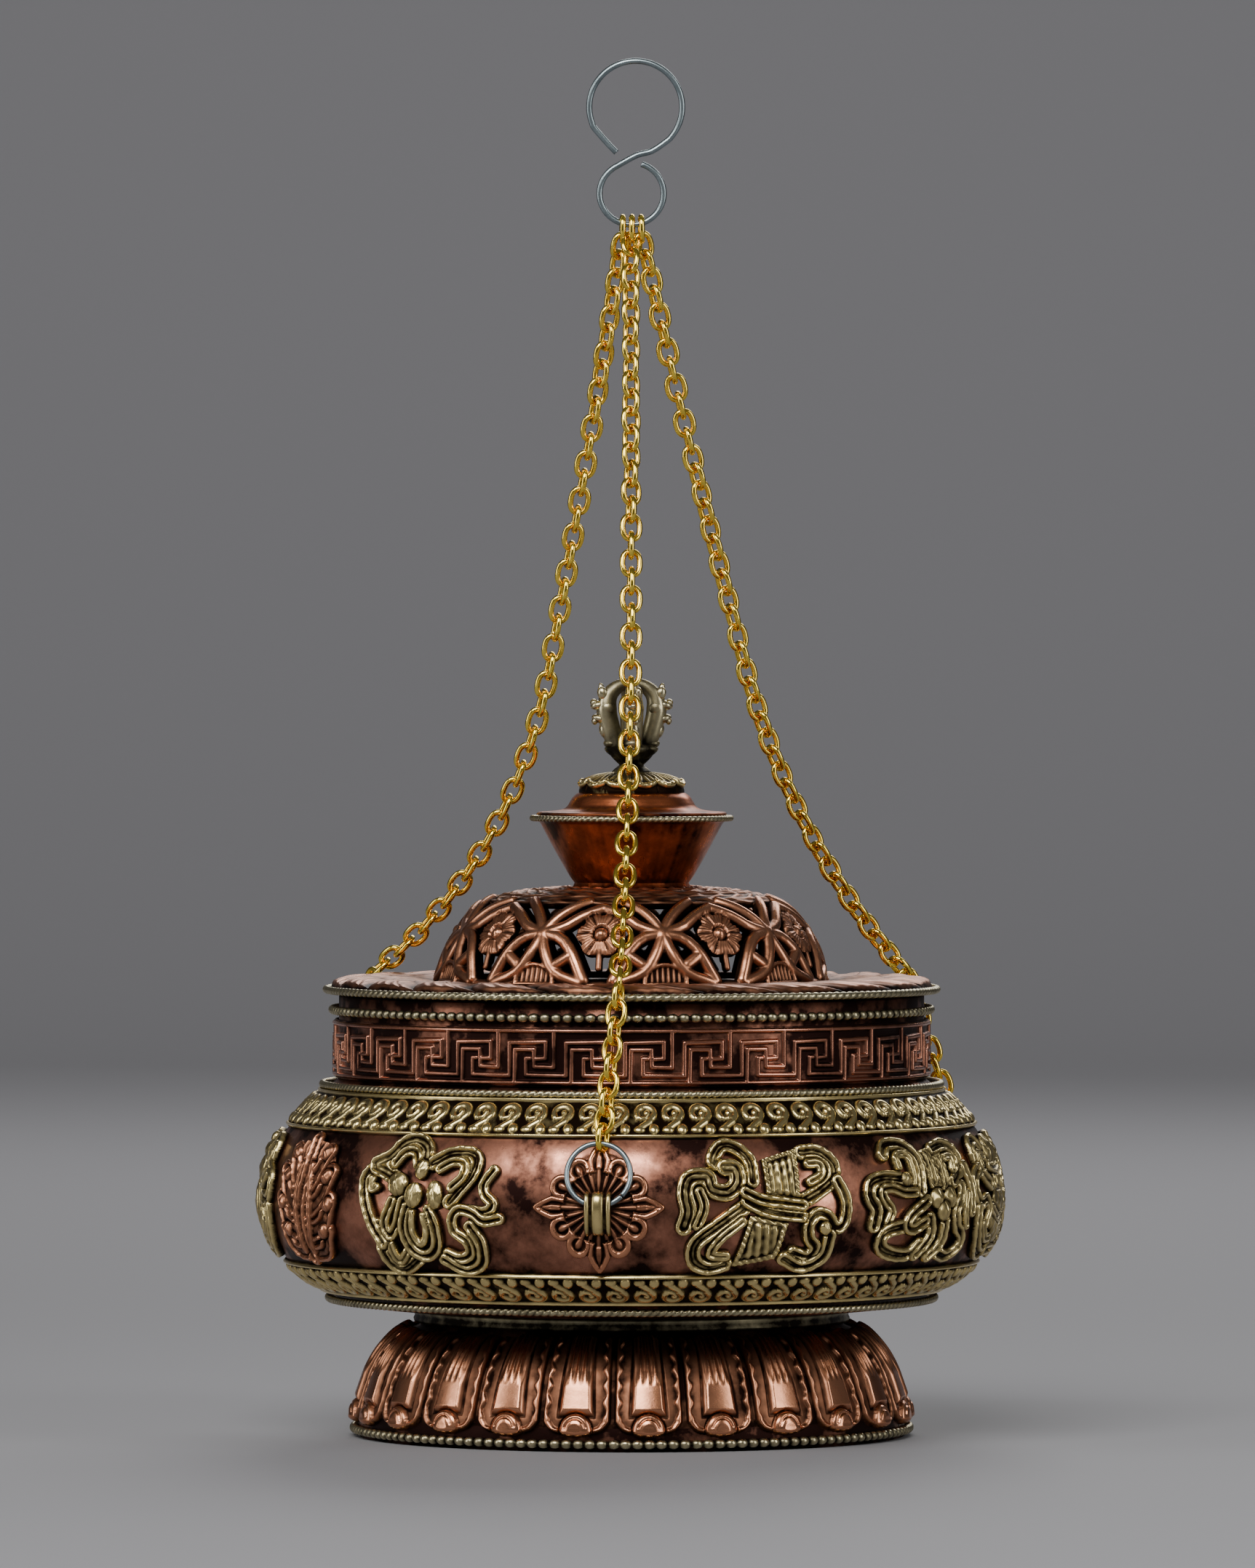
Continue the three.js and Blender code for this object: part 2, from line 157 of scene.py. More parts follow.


# %% [markdown]
# ## Metals
# Every metal here is old. The high points are rubbed bright and the hollows keep their tarnish, so
# each mesh carries a "wear" value per vertex, from 0 in a hollow to 1 on a ridge, and the colour
# and roughness follow it. A noise with a spot size in millimetres breaks it up, as fingers and
# smoke do. This is kept in the mesh rather than in a bump map, because the relief is real geometry.
# On the chain links and the finial the "wear" value also carries painted shade and highlight.

# %% The aged metal material
def aged_metal(name, bright, dull, smooth, rough, spot_mm, spots, grain_mm, grain_depth_mm, lean=0.0):
    """A metal that is bright and smooth where worn, dull and rough where it isn't."""
    material, tree = new_material(name)
    place = add_node(tree, "ShaderNodeTexCoord").outputs["Object"]
    wear = add_node(tree, "ShaderNodeAttribute", attribute_name="wear").outputs["Fac"]
    cloud = add_node(tree, "ShaderNodeTexNoise", {
        "Vector": place, "Scale": 1 / (spot_mm * MM), "Detail": 6, "Roughness": 0.62,
    }).outputs[0]
    spread = add_node(tree, "ShaderNodeMapRange", {
        "Value": cloud, "From Min": 0.3, "From Max": 0.7, "To Min": lean - spots, "To Max": lean + spots,
    }).outputs[0]
    mixed = add_node(tree, "ShaderNodeMath", {0: wear, 1: spread}, operation="ADD", use_clamp=True)
    # 6 and 7 are the Mix node's colour sockets, which come after its number and vector sockets
    colour = add_node(tree, "ShaderNodeMix", {
        "Factor": mixed.outputs[0], 6: srgb(dull), 7: srgb(bright),
    }, data_type="RGBA")
    gloss = add_node(tree, "ShaderNodeMapRange", {
        "Value": mixed.outputs[0], "To Min": rough, "To Max": smooth,
    }).outputs[0]
    grain = add_node(tree, "ShaderNodeTexNoise", {
        "Vector": place, "Scale": 1 / (grain_mm * MM), "Detail": 5, "Roughness": 0.6,
    }).outputs[0]
    bump = add_node(tree, "ShaderNodeBump", {
        "Height": grain, "Distance": grain_depth_mm * MM, "Strength": 0.8,
    }).outputs[0]
    metal = add_node(tree, "ShaderNodeBsdfPrincipled", {
        "Base Color": colour.outputs[2], "Metallic": 1.0, "Roughness": gloss, "Normal": bump,
    })
    add_node(tree, "ShaderNodeOutputMaterial", {"Surface": metal.outputs[0]})
    return material


# each line gives the bright and dull colours, the roughness when bright and dull, the size and
# strength of the spots, the size and depth of the grain, and how far the wear leans to bright
METALS = {
    # beaten copper, brown-pink where handled, with dark smoke stains about a centimetre across
    "patinated_copper": aged_metal(
        "patinated_copper", "#bd8067", "#261613", 0.22, 0.5, 13, 0.8, 2.2, 0.04, -0.12),
    # chased copper, bright on the ridges and nearly black where the polishing cloth can't reach
    "bright_copper": aged_metal("chased_copper", "#d3916d", "#1d100c", 0.23, 0.55, 7, 0.22, 1.6, 0.04),
    # copper reddened by the heat of the smoke
    "red_copper": aged_metal("heat_reddened_copper", "#d2784c", "#351710", 0.24, 0.44, 8, 0.5, 1.6, 0.05),
    # cast and stamped brass, gold on the ridges with brown hollows
    "aged_brass": aged_metal("aged_brass", "#f2da96", "#1c110a", 0.17, 0.5, 6, 0.22, 1.8, 0.02, -0.04),
    # drawn brass wire and strip, long tarnished
    "dark_brass": aged_metal("tarnished_brass", "#c2b792", "#1e1a13", 0.24, 0.55, 6, 0.3, 1.4, 0.03, -0.04),
    # new chain, plated and never polished since: even colour, sharp reflections
    "gold_plate": aged_metal("gold_plated_chain", "#ffe05c", "#eebd40", 0.12, 0.2, 14, 0.25, 4.0, 0.003),
    # hot-dipped zinc on steel wire, softly mottled blue-grey
    "galvanised_steel": aged_metal(
        "galvanised_steel", "#a4b1b4", "#6c787c", 0.28, 0.38, 5, 0.4, 2.0, 0.008),
    # sheet iron under soot
    "sooty_iron": aged_metal("sooty_sheet_iron", "#4a4440", "#1b1816", 0.5, 0.75, 10, 0.4, 1.0, 0.05),
}
print("metals", len(METALS))


# %% [markdown]
# ## Mesh helpers
# Nearly every piece is a grid of points: turned about the vertical axis, swept along a wire, or
# laid over a small plate. Working out the points with numpy and then making the mesh once is
# quick, and it gives each point's wear at the same time.

# %% Making a piece from points
def make_piece(name, points, faces, body, slot, replaces=(), wear=None, smooth=True):
    """A mesh from points in mm. It rides on a body, takes a metal and may replace plain solids."""
    mesh = bpy.data.meshes.new(name)
    mesh.from_pydata((np.asarray(points, float) * MM).tolist(), [], [list(f) for f in faces])
    if wear is None:
        wear = np.full(len(points), 0.5)
    held = mesh.attributes.new("wear", "FLOAT", "POINT")
    held.data.foreach_set("value", np.asarray(wear, np.float32).ravel())
    mesh.polygons.foreach_set("use_smooth", np.full(len(mesh.polygons), smooth))
    mesh.materials.append(METALS[slot])
    mesh.update()
    made = bpy.data.objects.new(name, mesh)
    bpy.context.collection.objects.link(made)
    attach(made, body)
    if replaces:
        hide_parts(*replaces)
    print(name, len(points), "points")
    return made


def grid_faces(rows, columns, close_rows=False, close_columns=True):
    """Four-sided faces over a grid of points held row by row."""
    i = np.arange(rows if close_rows else rows - 1)[:, None]
    j = np.arange(columns if close_columns else columns - 1)[None]
    up, along = (i + 1) % rows, (j + 1) % columns
    corners = (i * columns + j, i * columns + along, up * columns + along, up * columns + j)
    return np.stack(np.broadcast_arrays(*corners), -1).reshape(-1, 4)


def spline(points, count, closed=False):
    """A smooth curve through given points, evenly spaced along its length."""
    p = np.asarray(points, float)
    if closed:
        p = np.vstack([p[-1], p, p[:2]])
    else:
        p = np.vstack([2 * p[0] - p[1], p, 2 * p[-1] - p[-2]])
    t = np.linspace(0, 1, 24, endpoint=False)[:, None]
    parts = []
    for a, b, c, d in zip(p, p[1:], p[2:], p[3:]):
        parts.append(b + t * (c - a) / 2 + t**2 * (a - 2.5 * b + 2 * c - d / 2)
                     + t**3 * (-a / 2 + 1.5 * b - 1.5 * c + d / 2))
    dense = np.vstack(parts + [p[-2][None]])
    gone = np.concatenate([[0], np.cumsum(np.linalg.norm(np.diff(dense, axis=0), axis=1))])
    even = np.linspace(0, gone[-1], count, endpoint=not closed)
    return np.stack([np.interp(even, gone, dense[:, k]) for k in range(dense.shape[1])], 1)


def profile_normals(profile):
    """Unit normals on the right-hand side of a (radius, height) outline that is drawn upwards."""
    way = np.gradient(profile, axis=0)
    way /= np.linalg.norm(way, axis=1)[:, None] + 1e-12
    return np.stack([way[:, 1], -way[:, 0]], 1)


def turn(profile_r, profile_z, azimuths):
    """Points at each (radius, height) for each azimuth; 0 is the front and it grows towards +X."""
    r, z, a = np.broadcast_arrays(profile_r, profile_z, azimuths)
    return np.stack([r * np.sin(a), -r * np.cos(a), z], -1).reshape(-1, 3)


def turned_piece(name, outline, body, slot, columns=256, wear=None, **more):
    """A ring turned from a closed outline of (radius, height) points."""
    outline = np.asarray(outline, float)
    azimuths = np.linspace(0, math.tau, columns, endpoint=False)[None]
    points = turn(outline[:, :1], outline[:, 1:], azimuths)
    if wear is not None:
        wear = np.repeat(np.asarray(wear, float), columns)
    faces = grid_faces(len(outline), columns, True)
    return make_piece(name, points, faces, body, slot, wear=wear, **more)


def blur(field, cells):
    """A box blur that wraps round along the columns."""
    total = sum(np.roll(field, k, axis=1) for k in range(-cells, cells + 1)) / (2 * cells + 1)
    padded = np.pad(total, ((cells, cells), (0, 0)), mode="edge")
    rows = len(field)
    return sum(padded[k : k + rows] for k in range(2 * cells + 1)) / (2 * cells + 1)


def wear_of(height, cells, gain, level, base):
    """Ridges above their surroundings are worn bright; hollows and low ground are not."""
    proud = height - blur(height, cells)
    usual = np.percentile(np.abs(proud), 96) + 1e-9
    low, high = np.percentile(height, [4, 96])
    ridges = 0.22 * gain * proud / usual
    ground = level * ((height - low) / (high - low + 1e-9) - 0.5)
    return np.clip(base + ridges + ground, 0, 1)


# %% Strokes: relief is drawn as ridges beside lines
def distance_to(u, v, line):
    """The distance from each place to a line through points."""
    best = np.full(np.shape(u), 1e9)
    for (x0, y0), (x1, y1) in zip(line[:-1], line[1:]):
        dx, dy = x1 - x0, y1 - y0
        t = np.clip(((u - x0) * dx + (v - y0) * dy) / (dx * dx + dy * dy + 1e-12), 0, 1)
        best = np.minimum(best, np.hypot(u - x0 - t * dx, v - y0 - t * dy))
    return best


def ridge(distance, half_width):
    """A round ridge, 1 along its crest and 0 from half_width away."""
    return np.sqrt(np.clip(1 - (distance / half_width) ** 2, 0, 1))


def knob(u, v, x, y, rx, ry):
    """A round boss, 1 at its centre."""
    return np.sqrt(np.clip(1 - ((u - x) / rx) ** 2 - ((v - y) / ry) ** 2, 0, 1))


BACK_ROWS = 5


def relief_band(name, outline, height, thickness, body, slot,
                cells=6, gain=1.6, level=0.8, base=0.42, **more):
    """A band whose outer face follows the outline, raised by a height for each row and column."""
    rows, columns = height.shape
    outline = np.asarray(outline, float)
    normals = profile_normals(outline)
    azimuths = np.linspace(0, math.tau, columns, endpoint=False)[None]
    raised_r = outline[:, :1] + normals[:, :1] * height
    raised_z = outline[:, 1:] + normals[:, 1:] * height
    outer = turn(raised_r, raised_z, azimuths)
    picks = np.linspace(rows - 1, 0, BACK_ROWS).astype(int)
    back = outline[picks] - normals[picks] * thickness
    inner = turn(back[:, :1], back[:, 1:], azimuths)
    outer_wear = wear_of(height, cells, gain, level, base).ravel()
    wear = np.concatenate([outer_wear, np.full(BACK_ROWS * columns, 0.2)])
    faces = grid_faces(rows + BACK_ROWS, columns, True)
    return make_piece(name, np.vstack([outer, inner]), faces, body, slot, wear=wear, **more)


# %% [markdown]
# ## The bowl
# The bowl is one sheet of copper, raised with hammers and then planished smooth. It is a turned
# surface, and its outline gives every band and ornament its place, so the outline comes first.

# %% The bowl's outline and shell
BOWL_SIDE = spline([
    (60, 31.3), (66, 31.9), (70.8, 33.4), (74.4, 36), (80.3, 39.6), (84, 43.4), (87.6, 48.9),
    (89, 55.5), (88.8, 62), (86.9, 69), (83.4, 75.1), (77.7, 81.6), (72.6, 85.9), (71.3, 87),
], 150)
BOWL_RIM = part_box("bowl_shell")[1].z / MM
BOWL_NECK = 71.2
SHEET = 1.2


def wall(z, offset=0.0):
    """Radius and height of the bowl's outside at a height, moved out by an offset."""
    normals = profile_normals(BOWL_SIDE)
    r = np.interp(z, BOWL_SIDE[:, 1], BOWL_SIDE[:, 0])
    n = [np.interp(z, BOWL_SIDE[:, 1], normals[:, k]) for k in (0, 1)]
    return r + n[0] * offset, z + n[1] * offset


def wall_outline(low, high, count, offset=0.0):
    """Evenly spaced points up the bowl's outside between two heights."""
    z = np.linspace(low, high, count * 4)
    r, z = wall(z, offset)
    gone = np.concatenate([[0], np.cumsum(np.hypot(np.diff(r), np.diff(z)))])
    even = np.linspace(0, gone[-1], count)
    return np.stack([np.interp(even, gone, r), np.interp(even, gone, z)], 1)


neck_inside = BOWL_NECK - SHEET
outside = np.vstack([
    [(0.5, 31.3), (30, 31.3)],
    BOWL_SIDE,
    [(BOWL_NECK, 88), (BOWL_NECK, BOWL_RIM - 0.4), (BOWL_NECK - 0.4, BOWL_RIM)],
])
inside = np.vstack([
    [(BOWL_NECK - 1, BOWL_RIM), (neck_inside, BOWL_RIM - 0.4), (neck_inside, 88)],
    (BOWL_SIDE - profile_normals(BOWL_SIDE) * SHEET)[::-6],
    [(30, 32.5), (0.5, 32.5)],
])
# the belly between the two brass strips is handled and bright, the rest is tarnished
shell_wear = np.interp(outside[:, 1], [31, 42.5, 46.5, 55, 68, 73, 76, 90],
                       [0, 0.05, 0.5, 0.62, 0.62, 0.45, 0.1, 0.15])
turned_piece("copper_bowl", np.vstack([outside, inside]), "bowl", "patinated_copper", 360,
             wear=np.concatenate([shell_wear, np.full(len(inside), 0.1)]), replaces=["bowl_shell"])


# %% [markdown]
# ## Rope and bead wires
# The seams are hidden by wire: some is two strands twisted together, some is a string of beads.
# A twisted pair is a tube whose section is a figure of eight that turns as it goes round. A bead
# string is a tube that swells and shrinks. Both are one grid, so both are cheap.

# %% Wire hoops
def hoop(name, radius, height, wire, count, body, slot, kind="rope", replaces=(), gain=0.5):
    """A ring of twisted or beaded wire. count is the number of beads, or of strand crossings."""
    steps = 10 if kind == "rope" else 12
    columns, around = count * steps, 14
    a = np.linspace(0, math.tau, columns, endpoint=False)[None]
    t = np.linspace(0, math.tau, around, endpoint=False)[:, None]
    if kind == "rope":
        swell = 0.66 + 0.34 * np.abs(np.cos(t - a * count / 2)) ** 0.6
    else:
        bead = np.abs(((a * count / math.tau) % 1) - 0.5) * 2
        swell = np.maximum(np.sqrt(np.clip(1 - (bead * 0.98) ** 2, 0, 1)), 0.45) + 0 * t
    r = radius + wire * swell * np.cos(t)
    z = height + wire * swell * np.sin(t)
    wear = np.clip((swell - 0.6) * 1.9 + gain - 0.35, 0, 1)
    return make_piece(name, turn(r, z, a), grid_faces(around, columns, True)[:, ::-1], body, slot,
                      replaces=replaces, wear=(wear + 0 * a).ravel())


def old_hoop(node):
    """The middle radius and height of a plain ring that a hoop takes the place of."""
    low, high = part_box(node)
    return high.x / MM, (low.z + high.z) / 2 / MM


for node, wire, count, body, kind in (
    ("foot_bead_ring", 1.1, 149, "bowl", "bead"),
    ("lower_rope_ring", 1.0, 252, "bowl", "rope"),
    ("upper_rope_ring", 1.0, 252, "bowl", "rope"),
    ("rim_bead_ring", 1.1, 164, "bowl", "bead"),
    ("flange_rope_ring", 0.95, 214, "lid", "rope"),
    ("cup_rope_ring", 0.75, 96, "lid", "rope"),
):
    reach, height = old_hoop(node)
    hoop(node.replace("ring", "wire"), reach - wire, height, wire, count, body, "dark_brass", kind, [node])


# %% [markdown]
# ## The foot
# The foot is a low bell of copper dressed with twenty-four petals. Each petal has a raised border
# with a row of punched dots, a fluted wedge in its middle and a half-moon boss at its tip. One
# petal's height is worked out as a function and repeated, so all of them stay alike.

# %% Foot and petals
PETALS = 24
COLUMNS_PER_PETAL = 96
PETAL_TURN = 3.5 / 15  # how far round the petals start, in petals
PETAL_SUNK = 0.9  # how deep the relief starts below the slope, in mm


def petal_height(x, y, half):
    """The relief of one petal. x runs across it from its centre line, y up the slope, in mm."""
    u = np.abs(x)
    edge = np.minimum(half - 0.5 - u, (y - 4.4 * (u / half) ** 5 - 0.1) * 0.8)
    body = np.clip(edge / 0.6, 0, 1) * (0.35 + 0.85 * (1 - (u / half) ** 2))
    wavy = 1.5 + 0.4 * np.cos(y * math.tau / 4.2 + 1.0)
    border = np.sqrt(np.clip(1 - (2 * edge / wavy - 1) ** 2, 0, 1)) * 0.85
    wedge = 4.1 - 1.3 * np.clip((y - 5) / 18, 0, 1)
    inner = np.minimum(wedge - u, (y - 4.7) * 0.8)
    flutes = 0.5 + 0.5 * np.cos(x * math.tau * 2 / wedge)
    grooves = 0.5 * (flutes - 1) * np.clip((y - 11.5) / 4, 0, 1) * (inner > 0)
    rise = np.clip(inner / 0.9, 0, 1) ** 0.55 + grooves
    height = body + np.maximum(border, rise) - 0.4 * np.clip(1 - np.abs(inner + 0.35) / 0.4, 0, 1)
    half_moon = 1 - np.hypot(x / 3.9, (y - 0.8) / np.where(y > 0.8, 4.3, 1.3))
    slot = np.clip(1 - np.abs(half_moon - 0.32) / 0.07, 0, 1) * (y > 1.6)
    moon = 1.3 + 1.5 * np.sqrt(np.clip(half_moon * 1.7, 0, 1)) - 0.55 * slot
    height = np.where(half_moon > 0, moon, height * np.clip(-half_moon / 0.12, 0.25, 1))
    gap = np.clip((u - (half - 0.75)) / 0.5, 0, 1)
    return np.clip(height, 0, None) * (1 - gap)


petal_slope = spline([
    (67.35, 3.2), (67.1, 5.2), (66.8, 7.7), (65.2, 12.6), (63.6, 16.8), (61.1, 21), (57.4, 25),
    (53.9, 26.9),
], 130)
petal_columns = PETALS * COLUMNS_PER_PETAL
climb = np.concatenate([[0], np.cumsum(np.linalg.norm(np.diff(petal_slope, axis=0), axis=1))])[:, None]
across = np.linspace(0, PETALS, petal_columns, endpoint=False)[None]
lap = (across - PETAL_TURN + 0.5) % 1 - 0.5
pitch = petal_slope[:, :1] * math.tau / PETALS
petals = petal_height(lap * pitch, climb - 0.9, pitch / 2)
petals *= np.clip((climb[-1] - climb) / 1.5, 0, 1)
petal_base = petal_slope - profile_normals(petal_slope) * PETAL_SUNK
relief_band("chased_petals", petal_base, petals, 1.1, "bowl", "bright_copper",
            cells=9, gain=1.2, level=1.1, base=0.36, replaces=["petal_skirt"])

bell_outline = [
    (66.0, 0.3), (66.3, 0), (66.5, 3), (66.0, 6.9), (64, 12.6), (62.2, 16.8), (59.8, 21),
    (55.8, 25.1), (51.6, 26.9), (51.6, 31), (50.2, 31), (50.2, 26), (55, 23.4), (58.6, 20),
    (62.0, 13), (63.5, 4), (64.3, 0.2),
]
bell_wear = [0.3, 0.3, 0.15] + [0.0] * (len(bell_outline) - 3)
turned_piece("foot_bell", bell_outline, "bowl", "patinated_copper", wear=bell_wear,
             replaces=["foot_shell"])
neck_outline = [
    (51.9, 27.9), (52.9, 27.9), (53.1, 28.6), (52.7, 29.4), (53.1, 30.2), (52.9, 31), (51.9, 31),
]
turned_piece("neck_band", neck_outline, "bowl", "dark_brass",
             wear=[0.0, 0.1, 0.15, 0.05, 0.4, 0.1, 0.0], replaces=["neck_collar"])


# %% [markdown]
# ## Scroll bands
# Two bands of stamped brass strip edge the bowl's belly. A strip like this is rolled with one
# pattern along its length, a curl and a bead, so the height is worked out for a place within one
# repeat, and the curls of the neighbouring repeats are counted too.

# %% Stamped brass strips
def curl_height(x, y, pitch, tall):
    """One repeat of the strip's curl, bead and tail; y runs up from the band's lower edge."""
    s = tall / 8.3
    turns = np.linspace(math.radians(-60), math.radians(215), 16)
    oval = np.stack([3.5 + 2.25 * np.cos(turns), 5.35 + 1.75 * np.sin(turns)], 1)
    tail = np.array([(5.3, 4.6), (4.6, 3.3), (3.4, 2.6), (2.2, 1.8)])
    curl = np.array([(1.5, 4.6), (2.3, 3.9), (3.4, 4.1), (4.1, 5.0)])
    height = np.zeros(np.broadcast(x, y).shape)
    for shift in (-pitch, 0, pitch):
        u, v = x + shift, y / s
        for line, width in ((oval, 0.9), (tail, 0.85), (curl, 0.55)):
            height = np.maximum(height, ridge(distance_to(u, v, line), width) * 0.85)
        height = np.maximum(height, knob(u, v, 3.9, 5.3, 0.95, 0.85) * 0.95)
        height = np.maximum(height, knob(u, v, 1.9, 1.35, 1.55, 0.95) * 0.85)
        height = np.maximum(height, knob(u, v, 5.5, 1.45, 1.4, 1.35) * 1.05)
    return height


STRIP_REPEATS = 76
STRIP_PITCH = 7.1
STRIP_GRID = 64  # rows of points up the strip, and columns in one repeat


def scroll_strip(name, low, high, mirrored, node):
    """One brass strip round the bowl between two heights; mirrored turns its curls upside down."""
    rows, columns = STRIP_GRID, STRIP_REPEATS * STRIP_GRID
    outline = wall_outline(low, high, rows, 0.25)
    y = np.concatenate([[0], np.cumsum(np.linalg.norm(np.diff(outline, axis=0), axis=1))])[:, None]
    tall = y[-1, 0]
    x = (np.linspace(0, STRIP_REPEATS, columns, endpoint=False)[None] % 1) * STRIP_PITCH
    inner_tall = tall - 1.8
    v = (tall - y if mirrored else y) - 0.7
    height = curl_height(x, v, STRIP_PITCH, inner_tall)
    edge = np.maximum(ridge(y - 0.45, 0.45), ridge(y - tall + 0.45, 0.45)) * 0.75
    height = 0.25 + np.maximum(height, edge)
    height[0] = height[-1] = 0.1
    relief_band(name, outline, height, 0.2, "bowl", "aged_brass", gain=2.4, replaces=[node])


scroll_strip("upper_scroll_strip", 75.2, 83.9, False, "upper_scroll_band")
scroll_strip("lower_scroll_strip", 36.2, 43.4, True, "lower_scroll_band")


# %% [markdown]
# ## The key band
# The band round the neck carries a running key pattern in raised lines. The two lines of one
# repeat hook into each other. They are ridges half a millimetre wide on a dark ground.

# %% Key pattern
key_low, key_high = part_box("key_band")
KEY_REPEATS = 32
KEY_PITCH = 14.2
KEY_EDGES = (0.9, 13.3)  # the heights of the two border lines above the band's lower edge
KEY_RADIUS = 71.95
# two lines of one repeat, as parts of its pitch and of the height between the border lines
KEY_LINES = (
    [(-0.02, 0.0), (-0.01, 0.64), (0.33, 0.64), (0.34, 0.31), (0.68, 0.30), (0.68, 1.0)],
    [(0.26, 0.47), (0.19, 0.47), (0.19, 0.15), (0.89, 0.14), (0.89, 0.77), (1.54, 0.79), (1.54, 0.47),
     (1.36, 0.46)],
)
rows, columns = 90, KEY_REPEATS * 90
key_bottom, key_top = key_low.z / MM, key_high.z / MM
z = np.linspace(key_bottom, key_top, rows)
x = (np.linspace(0, KEY_REPEATS, columns, endpoint=False)[None] % 1) * KEY_PITCH
y = (z - key_bottom)[:, None]
key_height = np.maximum(*(ridge(y - edge, 0.55) for edge in KEY_EDGES)) + 0 * x
for line in KEY_LINES:
    drawn = [(u * KEY_PITCH, np.interp(v, [0, 1], KEY_EDGES)) for u, v in line]
    for shift in (-KEY_PITCH, 0, KEY_PITCH):
        key_height = np.maximum(key_height, ridge(distance_to(x + shift, y, drawn), 0.62))
key_height = 0.12 + key_height * 0.72
key_height[0] = key_height[-1] = 0.1
key_wall = np.stack([np.full(rows, KEY_RADIUS), z], 1)
relief_band("key_pattern_band", key_wall, key_height, 0.5, "bowl", "patinated_copper",
            cells=9, gain=1.2, replaces=["key_band"])


# %% [markdown]
# ## Cut-out plates
# Ornaments and the pierced dome are sheets whose edge is a drawn shape. A function says how far
# inside the shape each place is. Grid squares that touch the inside are kept, and corners that
# hang outside are pulled back onto the edge, which leaves a smooth rim without a huge grid.

# %% A sheet cut to a drawn shape
NUDGE = 0.03  # the step over which the slope of a shape is measured, in mm


def cut_plate(name, span_u, span_v, step, inside, height, place, thickness, body, slot,
              wrap=False, cells=5, gain=2.0, level=0.8, base=0.42, **more):
    """inside(u, v) is positive within the shape; height(u, v) raises it; place puts it in space."""
    columns = int(round((span_u[1] - span_u[0]) / step)) + (0 if wrap else 1)
    rows = int(round((span_v[1] - span_v[0]) / step)) + 1
    u = np.linspace(span_u[0], span_u[1], columns, endpoint=not wrap)[None] + np.zeros((rows, 1))
    v = np.linspace(span_v[0], span_v[1], rows)[:, None] + np.zeros((1, columns))
    faces = grid_faces(rows, columns, close_columns=wrap)
    depth = inside(u, v)
    kept = faces[(depth.ravel()[faces] > 0.02).any(1)]
    used = np.unique(kept)
    outer = used[depth.ravel()[used] < 0]
    relief = height(u, v)
    wear = wear_of(relief, cells, gain, level, base).ravel()
    u, v, relief = u.ravel().copy(), v.ravel().copy(), relief.ravel().copy()
    for _ in range(4):
        x, y = u[outer], v[outer]
        f = inside(x, y)
        slope_u = (inside(x + NUDGE, y) - f) / NUDGE
        slope_v = (inside(x, y + NUDGE) - f) / NUDGE
        scale = np.clip(-f, 0, step) / np.maximum(slope_u**2 + slope_v**2, 0.2)
        u[outer] += scale * slope_u
        v[outer] += scale * slope_v
    relief[outer] = height(u[outer], v[outer])
    lookup = np.full(rows * columns, -1)
    lookup[used] = np.arange(len(used))
    front = lookup[kept]
    count = len(used)
    # an edge with one face beside it is on the rim, and gets a wall down to the back sheet
    edges = np.concatenate([front[:, [k, (k + 1) % 4]] for k in range(4)])
    codes = edges[:, 0].astype(np.int64) * count + edges[:, 1]
    twin = edges[:, 1].astype(np.int64) * count + edges[:, 0]
    rim = edges[~np.isin(codes, twin)]
    walls = np.stack([rim[:, 1], rim[:, 0], rim[:, 0] + count, rim[:, 1] + count], 1)
    points = np.vstack([place(u[used], v[used], relief[used]), place(u[used], v[used], -thickness)])
    wear = np.concatenate([wear[used], np.full(count, 0.12)])
    faces = np.vstack([front, front[:, ::-1] + count, walls])
    return make_piece(name, points, faces, body, slot, wear=wear, **more)


# %% [markdown]
# ## The lid
# The lid is a flange with a border of swirling cloud lobes, and a dome pierced into a lattice.
# The lattice repeats nine times: round bars cross at bosses, with flowers between them. Smoke
# leaves through the gaps, so they are real holes.

# %% Flange and pierced dome
CLOUDS = 24
flange_top = spline([(73.4, 107.7), (73.2, 109.0), (70, 109.4), (58, 109.7), (46.2, 109.5)], 110)
lobe = np.linspace(0, CLOUDS, CLOUDS * 96, endpoint=False)[None]
inward = np.linspace(0, 1, len(flange_top))[:, None]


def cloud_row(turns, start, end, lean):
    """One row of overlapping comma-shaped swellings between two places across the flange."""
    across_row = np.clip((inward - start) / (end - start), 0, 1)
    s = (turns + lean * across_row + 0.06 * np.sin(across_row * 7)) % 1
    swell = np.sqrt(np.clip(np.sin(math.pi * s**0.72), 0, 1)) * np.sin(math.pi * across_row**0.6) ** 0.6
    fold = np.clip(1 - np.abs(s - 0.5 - 0.22 * np.cos(across_row * 4)) / 0.035, 0, 1) * 0.2
    return swell * (2.0 - fold * 1.5) + 0.10 * np.cos(math.tau * 5 * s) * swell


puff = np.maximum(cloud_row(lobe, 0.05, 0.62, 0.75), cloud_row(lobe + 0.5, 0.38, 0.97, 0.6) * 0.8)
puff = (0.15 + puff) * np.clip((inward - 0.05) / 0.03, 0, 1)
relief_band("cloud_flange", flange_top, puff, 1.3, "lid", "bright_copper",
            cells=12, gain=1.2, level=0.6, base=0.14, replaces=["lid_flange"])
collar_outline = [(68.2, 103.7), (69.5, 103.6), (69.5, 108.0), (68.2, 108.6)]
turned_piece("lid_collar", collar_outline, "lid", "bright_copper", wear=[0.1] * len(collar_outline))

